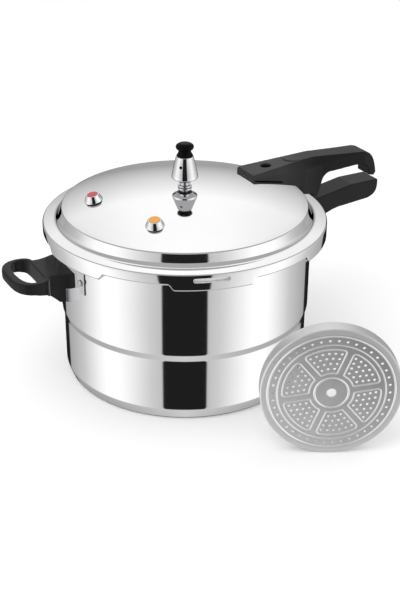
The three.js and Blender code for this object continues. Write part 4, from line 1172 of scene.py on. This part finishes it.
def lid_bakelite():
    """Bakelite with a painted sheen that makes the tongue lighter grey, and painted shade that makes the
    screw hole and the slits black.
    """
    material, shader, place = blank_material("lid_bakelite")
    cloud = noise(place, MOULD_CLOUD_SCALE, 4)
    x, y, _ = axes_of(place)
    settings = {"operation": "SUBTRACT"}
    from_screw = place.node("ShaderNodeVectorMath", settings, {0: place, 1: (screw_x * MM, 0, 0)})
    radius, height = from_axis(from_screw)
    in_hole = step_down(radius, *in_metres(HOLE_EDGE)) * step_down(height, *in_metres(HOLE_TOP))
    in_slit = step_down(abs(y), *in_metres(SLIT_INSIDE)) * step_down(height, *in_metres(SLIT_TOP))
    in_slit = in_slit * step_up(x, *in_metres(SLIT_BEGINS)) * step_down(x, *in_metres(SLIT_ENDS))
    unlit = in_hole.maths("MAXIMUM", in_hole, in_slit)
    # Painted sheen: the tongue is lighter grey, fading to black along the grip.
    face = mixed(step_up(x, *in_metres(GREY_FADES)), TONGUE_SHEEN_GREY, GRIP_BLACK)
    face = mixed(cloud * 0.3, face, CLOUD_BLACK)
    feed(shader, "Base Color", mixed(unlit, face, UNLIT_BLACK))
    feed(shader, "Roughness", cloud * 0.14 + 0.26 + unlit * 0.5)
    feed(shader, "Normal", bump(noise(place, RESIN["grain"], 2), GRAIN_STRENGTH, RESIN["grain_depth"]))
    feed(shader, "Specular IOR Level", 0.12)
    return material


print("the tongue turns black between", GREY_FADES, "mm from the axis")

# %% The three handles
fillings = {"lid_handle": [tip_corner(hand) for hand in BOTH_HANDS]}
cutters = {
    "lid_handle": [*(slit_cutter(hand) for hand in BOTH_HANDS), screw_hole()],
    "helper_handle": [wing("wing_room", hand, WING_CUT_PAST, WING_SPARE) for hand in BOTH_HANDS],
}
mouldings = {}
for node, (body, voxel, rounds) in HANDLES.items():
    name = f"{node}_moulded"
    moulding = softened(name, node, voxel, rounds, fillings.get(node, ()))
    if node in cutters:
        moulding = bored(name, moulding, cutters[node])
    unmirrored(piece(name, moulding, "bakelite", body, [node], sharp=60))
    mouldings[node] = moulding
mouldings["lid_handle"].materials[0] = lid_bakelite()

# %% Both wings
wings = joined("helper_bracket_wings", [wing("wing", hand) for hand in BOTH_HANDS])
unmirrored(piece("helper_bracket_wings", wings, "steel", "pot"))

# %% [markdown]
# ## Rivets
# Two rivets hold each bracket to the pot. They sit in pairs on opposite sides, so they could be placed
# one by one. In a tree their angles follow from their index: which pair it is in, and which hand of the
# pair it is. The helper handle's pair sits lower.

# %% Rivets
RIVET_COUNT = 4
RIVET_ANGLE = 11.6
RIVET_RADIUS = 2
RIVET_HEAD_RADIUS = 3.6
RIVET_HEAD_FACE = 0.6 * RIVET_HEAD_RADIUS
RIVET_HEAD_HEIGHT = 1.4
POT_HALF_SIDE = math.pi / 48
rivet_low, rivet_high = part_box("pot_handle_rivet_left")
rivet_height = (rivet_low.z + rivet_high.z) / 2 / MM
rivet_drop = rivet_low.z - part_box("helper_handle_rivet_left")[0].z
RIVET_INSIDE = upper_inside * math.cos(POT_HALF_SIDE) - 0.3
RIVET_OUTSIDE = POT_UPPER_RADIUS + 2 + 0.9


def rivet_mesh():
    profile = rounded([
        (0, RIVET_INSIDE - RIVET_HEAD_HEIGHT),
        (RIVET_HEAD_FACE, RIVET_INSIDE - RIVET_HEAD_HEIGHT, 0.8),
        (RIVET_HEAD_RADIUS, RIVET_INSIDE, 0.3),
        (RIVET_RADIUS, RIVET_INSIDE),
        (RIVET_RADIUS, RIVET_OUTSIDE),
        (RIVET_HEAD_RADIUS, RIVET_OUTSIDE, 0.3),
        (RIVET_HEAD_FACE, RIVET_OUTSIDE + RIVET_HEAD_HEIGHT, 0.8),
        (0, RIVET_OUTSIDE + RIVET_HEAD_HEIGHT),
    ], 3)
    mesh = lathe("rivet", profile, 24)
    mesh.transform(lying_at(rivet_height))
    return mesh


def rivet_tree():
    tree, given = new_tree("rivets in pairs", {"Hand Angle": FLOAT, "Second Pair Drop": FLOAT})
    index = given["Hand Angle"].node("GeometryNodeInputIndex")
    hand = index % 2 * 2 - 1
    pair = index.maths("FLOOR", index / 2)
    angle = pair * math.pi + hand * given["Hand Angle"]
    down = angle.node("ShaderNodeCombineXYZ", inputs={"Z": -(pair * given["Second Pair Drop"])})
    points = angle.node("GeometryNodePoints", inputs={"Count": RIVET_COUNT, "Position": down})
    end_tree(instances(points, given["Geometry"], angle), satin)
    return tree


rivet_values = {"Hand Angle": math.radians(RIVET_ANGLE), "Second Pair Drop": rivet_drop}
rivets = run_tree("pot_rivets", rivet_tree(), rivet_mesh(), rivet_values)
rivet_nodes = [f"{side}_handle_rivet_{hand}" for side in ("pot", "helper") for hand in ("left", "right")]
piece("pot_rivets", rivets, "satin_aluminium", "pot", rivet_nodes)

# %% [markdown]
# ## Steam rack
# The rack is one stamping: a disc with a turned rim, raised beads, and rows of small holes in six
# sectors. The holes could be a picture with alpha. They are real here, because light falls through
# them: the flat part is filled between circles in Geometry Nodes, with a ring of holes at its edge and
# rows of them in each sector.

# %% Rack sizes
RACK_RADIUS = 65
RACK_SHEET = 1.2
RACK_RIM_HEIGHT = 15
RACK_HUB_RADIUS = 17.8
RACK_FLAT_RADIUS = 56.6
RACK_CENTRE_HOLE = 4.6
RACK_HOLE_RADIUS = 1.4
RACK_HOLE_SIDES = 10
RACK_EDGE_HOLES = 42
RACK_EDGE_HOLES_RADIUS = 53.4
RACK_ROUND_SIDES = 96
RACK_SECTORS = 6
RACK_ROWS = ((25, 3), (30.3, 4), (35.4, 5), (40.5, 6))
RACK_HOLE_PITCH = 5.8
RACK_SECTOR_INNER = 20.5
RACK_SECTOR_OUTER = 45
RACK_HALF_SPOKE = 3.2
RACK_BEAD_RADIUS = 0.9
RACK_BEAD_CORNER = 3
RACK_PHASE = math.radians(40)
RACK_FACING = math.radians(243)
holes = RACK_EDGE_HOLES + RACK_SECTORS * sum(count for _, count in RACK_ROWS)
print("the rack has", holes, "small holes")


# %% Rack plate
def plate_tree():
    inputs = {"Inner Radius": FLOAT, "Outer Radius": FLOAT, "Sheet": FLOAT, "Hole Radius": FLOAT}
    inputs.update({"Edge Radius": FLOAT, "Edge Holes": COUNT, "Count": COUNT, "Phase": FLOAT})
    tree, given = new_tree("perforated plate", inputs)
    start = given["Sheet"]

    def circle(radius, points):
        kind = "GeometryNodeCurvePrimitiveCircle"
        return start.node(kind, {"mode": "RADIUS"}, {"Resolution": points, "Radius": radius})

    def joint(parts):
        return start.node("GeometryNodeJoinGeometry", inputs={"Geometry": parts})

    hole = circle(given["Hole Radius"], RACK_HOLE_SIDES)
    settings = {"Vertices": given["Edge Holes"], "Radius": given["Edge Radius"]}
    edge = start.node("GeometryNodeMeshCircle", {"fill_type": "NONE"}, settings)
    curves = [start.node("GeometryNodeInstanceOnPoints", inputs={"Points": edge, "Instance": hole})]
    rows = []
    for radius, count in RACK_ROWS:
        half = RACK_HOLE_PITCH * (count - 1) / 2 / radius
        arc = {"Resolution": count, "Radius": radius * MM, "Start Angle": -half, "Sweep Angle": 2 * half}
        row = start.node("GeometryNodeCurveArc", {"mode": "RADIUS"}, arc)
        rows.append(start.node("GeometryNodeInstanceOnPoints", inputs={"Points": row, "Instance": hole}))
    curves.append(copies_round_axis(given, joint(rows)))
    curves += [circle(given[name], RACK_ROUND_SIDES) for name in ("Inner Radius", "Outer Radius")]
    real = start.node("GeometryNodeRealizeInstances", inputs={"Geometry": joint(curves)})
    flat = start.node("GeometryNodeFillCurve", {"mode": "TRIANGLES"}, {"Curve": real})
    settings = {"Mesh": flat, "Offset Scale": given["Sheet"], "Individual": False}
    raised = start.node("GeometryNodeExtrudeMesh", {"mode": "FACES"}, settings)
    under = start.node("GeometryNodeFlipFaces", inputs={"Mesh": flat})
    settings = {"Geometry": joint([raised, under]), "Distance": MERGE_DISTANCE}
    end_tree(start.node("GeometryNodeMergeByDistance", inputs=settings), satin)
    return tree


plate_values = {
    "Inner Radius": RACK_HUB_RADIUS * MM,
    "Outer Radius": RACK_FLAT_RADIUS * MM,
    "Sheet": RACK_SHEET * MM,
    "Hole Radius": RACK_HOLE_RADIUS * MM,
    "Edge Radius": RACK_EDGE_HOLES_RADIUS * MM,
    "Edge Holes": RACK_EDGE_HOLES,
    "Count": RACK_SECTORS,
    "Phase": RACK_PHASE,
}
plate = run_tree("plate", plate_tree(), bpy.data.meshes.new("nothing"), plate_values)
plate.transform(Matrix.Translation((0, 0, -RACK_SHEET * MM)))
print("the plate has", len(plate.polygons), "faces")

# %% [markdown]
# ## Beads of the rack
# A bead stiffens the sheet round each sector. It could be pushed up out of the plate's mesh, but the
# holes leave that mesh uneven. A round section swept along the sector's outline stays smooth, and half
# of it lies hidden in the sheet.

# %% Rack beads
ARC_STEPS = 12
BEAD_SIDES = 10
BEAD_CORNER_STEPS = 5


def half_sector(radius, inset):
    """Half the angle of a sector at a radius. Its straight sides lie an inset from the spoke's middle."""
    return math.pi / RACK_SECTORS - math.asin(inset / radius)


def sector_outline():
    """The outline of one sector as a closed curve: two arcs and two straight sides."""
    corners = []
    for radius, way in ((RACK_SECTOR_INNER, 1), (RACK_SECTOR_OUTER, -1)):
        half = half_sector(radius, RACK_HALF_SPOKE)
        for step in range(ARC_STEPS + 1):
            angle = way * half * (step / (ARC_STEPS / 2) - 1)
            corners.append((radius * MM * math.cos(angle), radius * MM * math.sin(angle), 0, 1))
    curve = bpy.data.curves.new("sector", "CURVE")
    curve.dimensions = "3D"
    spline = curve.splines.new("POLY")
    spline.points.add(len(corners) - 1)
    for point, corner in zip(spline.points, corners):
        point.co = corner
    spline.use_cyclic_u = True
    return curve


def bead_tree():
    inputs = {"Bead Radius": FLOAT, "Corner": FLOAT, "Count": COUNT, "Phase": FLOAT}
    tree, given = new_tree("beads round the sectors", inputs)
    start = given["Corner"]
    settings = {"Curve": given["Geometry"], "Count": BEAD_CORNER_STEPS}
    settings.update({"Radius": start, "Limit Radius": True})
    soft = start.node("GeometryNodeFilletCurve", {"mode": "POLY"}, settings)
    section = {"Resolution": BEAD_SIDES, "Radius": given["Bead Radius"]}
    round_bead = start.node("GeometryNodeCurvePrimitiveCircle", {"mode": "RADIUS"}, section)
    bead = start.node("GeometryNodeCurveToMesh", inputs={"Curve": soft, "Profile Curve": round_bead})
    end_tree(copies_round_axis(given, bead), satin)
    return tree


bead_values = {
    "Bead Radius": RACK_BEAD_RADIUS * MM,
    "Corner": RACK_BEAD_CORNER * MM,
    "Count": RACK_SECTORS,
    "Phase": RACK_PHASE,
}
beads = run_tree("beads", bead_tree(), sector_outline(), bead_values)
print("the beads have", len(beads.polygons), "faces")

# %% [markdown]
# ## Hub and rim of the rack
# The hub and the rim are round, so they could come out of the plate's tree as well. They are turned
# instead, because a lathe profile takes a raised ridge and a rounded edge in a few points.

# %% Rack hub and rim
RIDGE_STEPS = 6
HUB_RIDGE = 15.5
RIM_RIDGE = 58.2
RIM_RIDGE_END = 59.6
MIDDLE_RIDGE = 49.5
MIDDLE_RIDGE_WIDTH = 2.0
MIDDLE_RIDGE_ROOT = -0.6
RIM_EDGE_DROP = 0.3
sheet_low = -RACK_SHEET
rim_inside = RACK_RADIUS - RACK_SHEET


def ridge(radius, width=2.4, height=1.0):
    """The points of a rounded bead in a section, outwards."""
    shares = [step / RIDGE_STEPS for step in range(RIDGE_STEPS + 1)]
    return [(radius + width * (share - 0.5), height * math.sin(math.pi * share)) for share in shares]


hub = lathe("hub", [
    (RACK_CENTRE_HOLE, 0),
    (RACK_CENTRE_HOLE, sheet_low),
    (RACK_HUB_RADIUS, sheet_low),
    (RACK_HUB_RADIUS, 0),
    *reversed(ridge(HUB_RIDGE)),
], RACK_ROUND_SIDES)
rim = lathe("rim", [
    (RACK_FLAT_RADIUS, 0),
    *ridge(RIM_RIDGE),
    *rounded([
        (RIM_RIDGE_END, 0),
        (RACK_RADIUS, -RIM_EDGE_DROP, 1.6),
        (RACK_RADIUS, -RACK_RIM_HEIGHT, 0.5),
        (rim_inside, -RACK_RIM_HEIGHT, 0.5),
        (rim_inside, sheet_low, 1),
        (RACK_FLAT_RADIUS, sheet_low),
    ])[1:],
], 144)
middle_bead = lathe("middle_bead", [
    *ridge(MIDDLE_RIDGE, MIDDLE_RIDGE_WIDTH, 0.7),
    (MIDDLE_RIDGE + MIDDLE_RIDGE_WIDTH / 2, MIDDLE_RIDGE_ROOT),
    (MIDDLE_RIDGE - MIDDLE_RIDGE_WIDTH / 2, MIDDLE_RIDGE_ROOT),
], RACK_ROUND_SIDES)
print("hub, rim and middle bead have", [len(mesh.polygons) for mesh in (hub, rim, middle_bead)], "faces")

# %% [markdown]
# ## Rack's finish
# The sheet is satin, and a painted highlight makes its raised beads bright. The beads could have a
# material of their own. The height over the flat face tells the highlight from plain just as well, and
# fades at a bead's foot. Painted light makes the face lighter towards one side, as in the picture.

# %% Rack's finish
PAINTED_LIGHT_SIDE = Vector((-0.7, 0, -0.7))
HIGHLIGHT_HEIGHT = (0.15, 0.6)
RACK_FLANGE = (59.4, 60)
FLANGE_GREY = (0.95, 0.95, 0.96, 1)
HIGHLIGHT_WHITE = (1, 1, 1, 1)


def stamped_metal(place_on_face, outward):
    """Satin aluminium with a painted highlight where it stands above the rack's flat face, and painted
    light to one side.
    """
    material, shader, place = blank_material("stamped_aluminium")
    cloud = noise(place, 60)
    height = (along(place, outward) - place_on_face.dot(outward)) / MM
    # Painted highlight: what stands above the flat face turns nearly white.
    highlighted = step_up(height, *HIGHLIGHT_HEIGHT)
    # Painted light: the face is lighter towards one side.
    across = along(place, PAINTED_LIGHT_SIDE) - place_on_face.dot(PAINTED_LIGHT_SIDE)
    across = across / (2 * RACK_RADIUS * MM) + 0.5
    settings = {"operation": "DISTANCE"}
    radius = place.node("ShaderNodeVectorMath", settings, {0: place, 1: tuple(place_on_face)}, output=1)
    flange = step_up(radius, *in_metres(RACK_FLANGE))
    plain = tinted(across * 0.85 + cloud * 0.15, (0.36, 0.36, 0.37), (0.98, 0.98, 0.99))
    plain = mixed(flange * 0.5, plain, FLANGE_GREY)
    feed(shader, "Base Color", mixed(highlighted * 0.95, plain, HIGHLIGHT_WHITE))
    feed(shader, "Metallic", 0.75)
    feed(shader, "Roughness", cloud * 0.1 + 0.42 - highlighted * 0.1)
    return material


print("beads are worn above", HIGHLIGHT_HEIGHT, "mm")

# %% [markdown]
# ## Rack in its place
# The rack stands on its rim in front of the pot. Its parts are joined flat at the origin and then
# turned upright, because a flat part is easier to check. The pot doesn't mirror it in the picture, so
# mirror rays pass it by too.

# %% Rack
rack_low, rack_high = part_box("steam_rack")
facing = Vector((math.cos(RACK_FACING), math.sin(RACK_FACING), 0))
rack_place = (rack_low + rack_high) / 2 + facing * RACK_RIM_HEIGHT / 2 * MM
upright = Matrix.Rotation(RACK_FACING + math.pi / 2, 4, "Z") @ Matrix.Rotation(math.pi / 2, 4, "X")
rack = joined("steam_rack_stamped", [hub, rim, middle_bead, plate, beads])
rack.transform(Matrix.Translation(rack_place) @ upright)
unmirrored(piece("steam_rack_stamped", rack, "satin_aluminium", "rack", ["steam_rack"], sharp=40))
rack.materials[0] = stamped_metal(rack_place, facing)

# %% [markdown]
# ## The rest of the hardware
# Brackets, screws, washers and bolts hardly show, so they keep their packed shapes. Modelling them anew
# would add nothing. Each takes the finish of its slot in the record, but the screw deep in the tongue's
# hole gets near-black metal as painted shade, since the hole shows black.

# %% Finishes for the packed pieces
for entry in frame["record"]["subparts"]:
    packed = frame["nodes"][entry["node"]]
    packed.data.materials.clear()
    packed.data.materials.append(slots[entry["material_slot"]])
    unmirrored(packed)
# Painted shade: the screw deep in the tongue's hole is near black.
frame["nodes"]["lid_handle_screw"].data.materials[0] = screw_shade_metal

# %% [markdown]
# ## Studio
# Polished metal shows nothing but its surroundings, so the surroundings are the picture. Real cards
# round the pot could give them, but they would light the floor too and show in other views. So the
# world is painted for mirror rays only, while the camera sees white and all other light is even. What a
# mirror ray meets follows from two measures. One is how far its direction turns away from the camera's
# side: a black card there gives the dark stripe down the pot, and white and grey cards farther round
# give its flanks. The other is how far the mirroring surface leans, worked out from that direction and
# the camera's: the step and the heel lean under and turn grey, and what leans under farther turns
# black.

# %% Directions
world = bpy.data.worlds.new("studio")
bpy.context.scene.world = world
world.use_nodes = True
sky = Wire(world.node_tree)
east, north, up = axes_of(sky.node("ShaderNodeTexCoord", output=0))
ahead = Vector((math.sin(CAMERA_AZIMUTH), -math.cos(CAMERA_AZIMUTH)))
front = east * ahead.x + north * ahead.y
side = east * -ahead.y + north * ahead.x
turn = abs(front.maths("ARCTAN2", side, front) / math.pi)

LEAN_IS_SURE = (0.05, 0.15)
half_front = front + Vector(towards_camera[:2]).length
half_level = half_front * half_front + side * side
lean = (up + towards_camera.z) / half_level ** 0.5
lean = lean * step_up(half_level, *LEAN_IS_SURE)
print("directions take", len(world.node_tree.nodes), "nodes")

# %% Cards round the pot
BLACK_CARD = 0.012
CARDS = (
    (0, BLACK_CARD),
    (20.3, BLACK_CARD),
    (21.5, 0.5),
    (32, 0.58),
    (40, 0.68),
    (48, 0.79),
    (60, 0.93),
    (68, 1),
    (79, 1),
    (89, 0.88),
    (100, 0.72),
    (113, 0.54),
    (129, 0.43),
    (146, 0.34),
    (148, BLACK_CARD),
    (180, BLACK_CARD),
)
CARD_LIGHT = 1.16
RING_LEAN = (-0.2, -0.14)
RING_GREY = 0.66
RING_FALL = 0.36
OVERHEAD = (0.55, 0.62)
OVERHEAD_GREY = 0.42
SKYLINE_LOW = (-0.12, -0.06)
SKYLINE_HIGH = (0.1, 0.16)
SKYLINE_SHADE = 0.15

stops = [(degrees / 180, grey) for degrees, grey in CARDS]
cards = turn.node("ShaderNodeValToRGB", {"stops": stops}, {0: turn}) * CARD_LIGHT
is_ring = step_down(lean, *RING_LEAN)
is_overhead = step_up(up, *OVERHEAD)
around = cards * (1 - is_ring) * (1 - is_overhead)
around = around + is_ring * (RING_GREY - turn * RING_FALL) + is_overhead * OVERHEAD_GREY
skyline = step_up(up, *SKYLINE_LOW) * step_down(up, *SKYLINE_HIGH)
around = around * (1 - skyline * SKYLINE_SHADE)
print("cards at", [degrees for degrees, _ in CARDS], "degrees")

# %% Wall behind the pot
HORIZON_GREY = 0.38
WALL_WHITE = 1.1
WHITE_BY = math.sin(math.radians(28))
WALL_FALL = 2
WALL_TURN = (147 / 180, 151 / 180)
WALL_LOW = (-0.3, -0.26)
WALL_HIGH = (0.875, 0.9)
UNDERSIDE_LEAN = (-0.62, -0.5)

behind = step_up(up, 0, WHITE_BY) * (WALL_WHITE - HORIZON_GREY) + HORIZON_GREY - side * side * WALL_FALL
is_behind = step_up(turn, *WALL_TURN) * step_up(up, *WALL_LOW) * step_down(up, *WALL_HIGH)
mirrored = around * (1 - is_behind) + behind * is_behind
mirrored = mirrored * (1 - step_down(lean, *UNDERSIDE_LEAN))
print("the crown mirrors the wall behind up to", WALL_HIGH[1])

# %% World
PLAIN_LIGHT = 1.0
path = sky.node("ShaderNodeLightPath").socket.node.outputs
to_camera = Wire(world.node_tree, path["Is Camera Ray"])
to_mirror = Wire(world.node_tree, path["Is Glossy Ray"])
strength = to_camera + to_mirror * mirrored + (1 - to_camera - to_mirror) * PLAIN_LIGHT
background = world.node_tree.nodes["Background"]
feed(background, "Color", (1, 1, 1, 1))
feed(background, "Strength", strength)
print("studio has", len(world.node_tree.nodes), "nodes")

# %% [markdown]
# ## Floor and light
# The cooker stands on a pale sheet that runs out of the picture. The even light of the world alone
# would give no shadow. One large soft lamp from the upper left adds a faint one under the pot, and like
# the floor it is kept out of the mirrors.

# %% Floor
FLOOR_RADIUS = 8
FLOOR_DROP = 0.0002

made = bmesh.new()
bmesh.ops.create_circle(made, cap_ends=True, radius=FLOOR_RADIUS, segments=64)
floor_mesh = bpy.data.meshes.new("floor")
made.to_mesh(floor_mesh)
made.free()
floor_material, floor_shader, floor_place = blank_material("pale_floor")
feed(floor_shader, "Base Color", tinted(noise(floor_place, 3), (0.97, 0.97, 0.97), (0.99, 0.99, 0.99)))
feed(floor_shader, "Roughness", 0.9)
floor_mesh.materials.append(floor_material)
floor = linked("floor", floor_mesh)
floor.location.z = -FLOOR_DROP
unmirrored(floor)
print("floor of", FLOOR_RADIUS, "m radius")

# %% Lamp
LAMP_SIZE = 1.2
LAMP_POWER = 9
LAMP_PLACE = Vector((-0.9, -0.5, 1.5))

lamp_data = bpy.data.lights.new("soft_box", "AREA")
lamp_data.size = LAMP_SIZE
lamp_data.energy = LAMP_POWER
lamp = linked("soft_box", lamp_data)
lamp.location = LAMP_PLACE
lamp.rotation_euler = (LAMP_PLACE - CAMERA_TARGET).to_track_quat("Z", "Y").to_euler()
unmirrored(lamp)
bpy.context.scene.view_settings.view_transform = "Standard"
print("lamp of", LAMP_POWER, "watts")

# %% [markdown]
# ## Sizes
# The dressed cooker has to fill the packed model's box and no more.
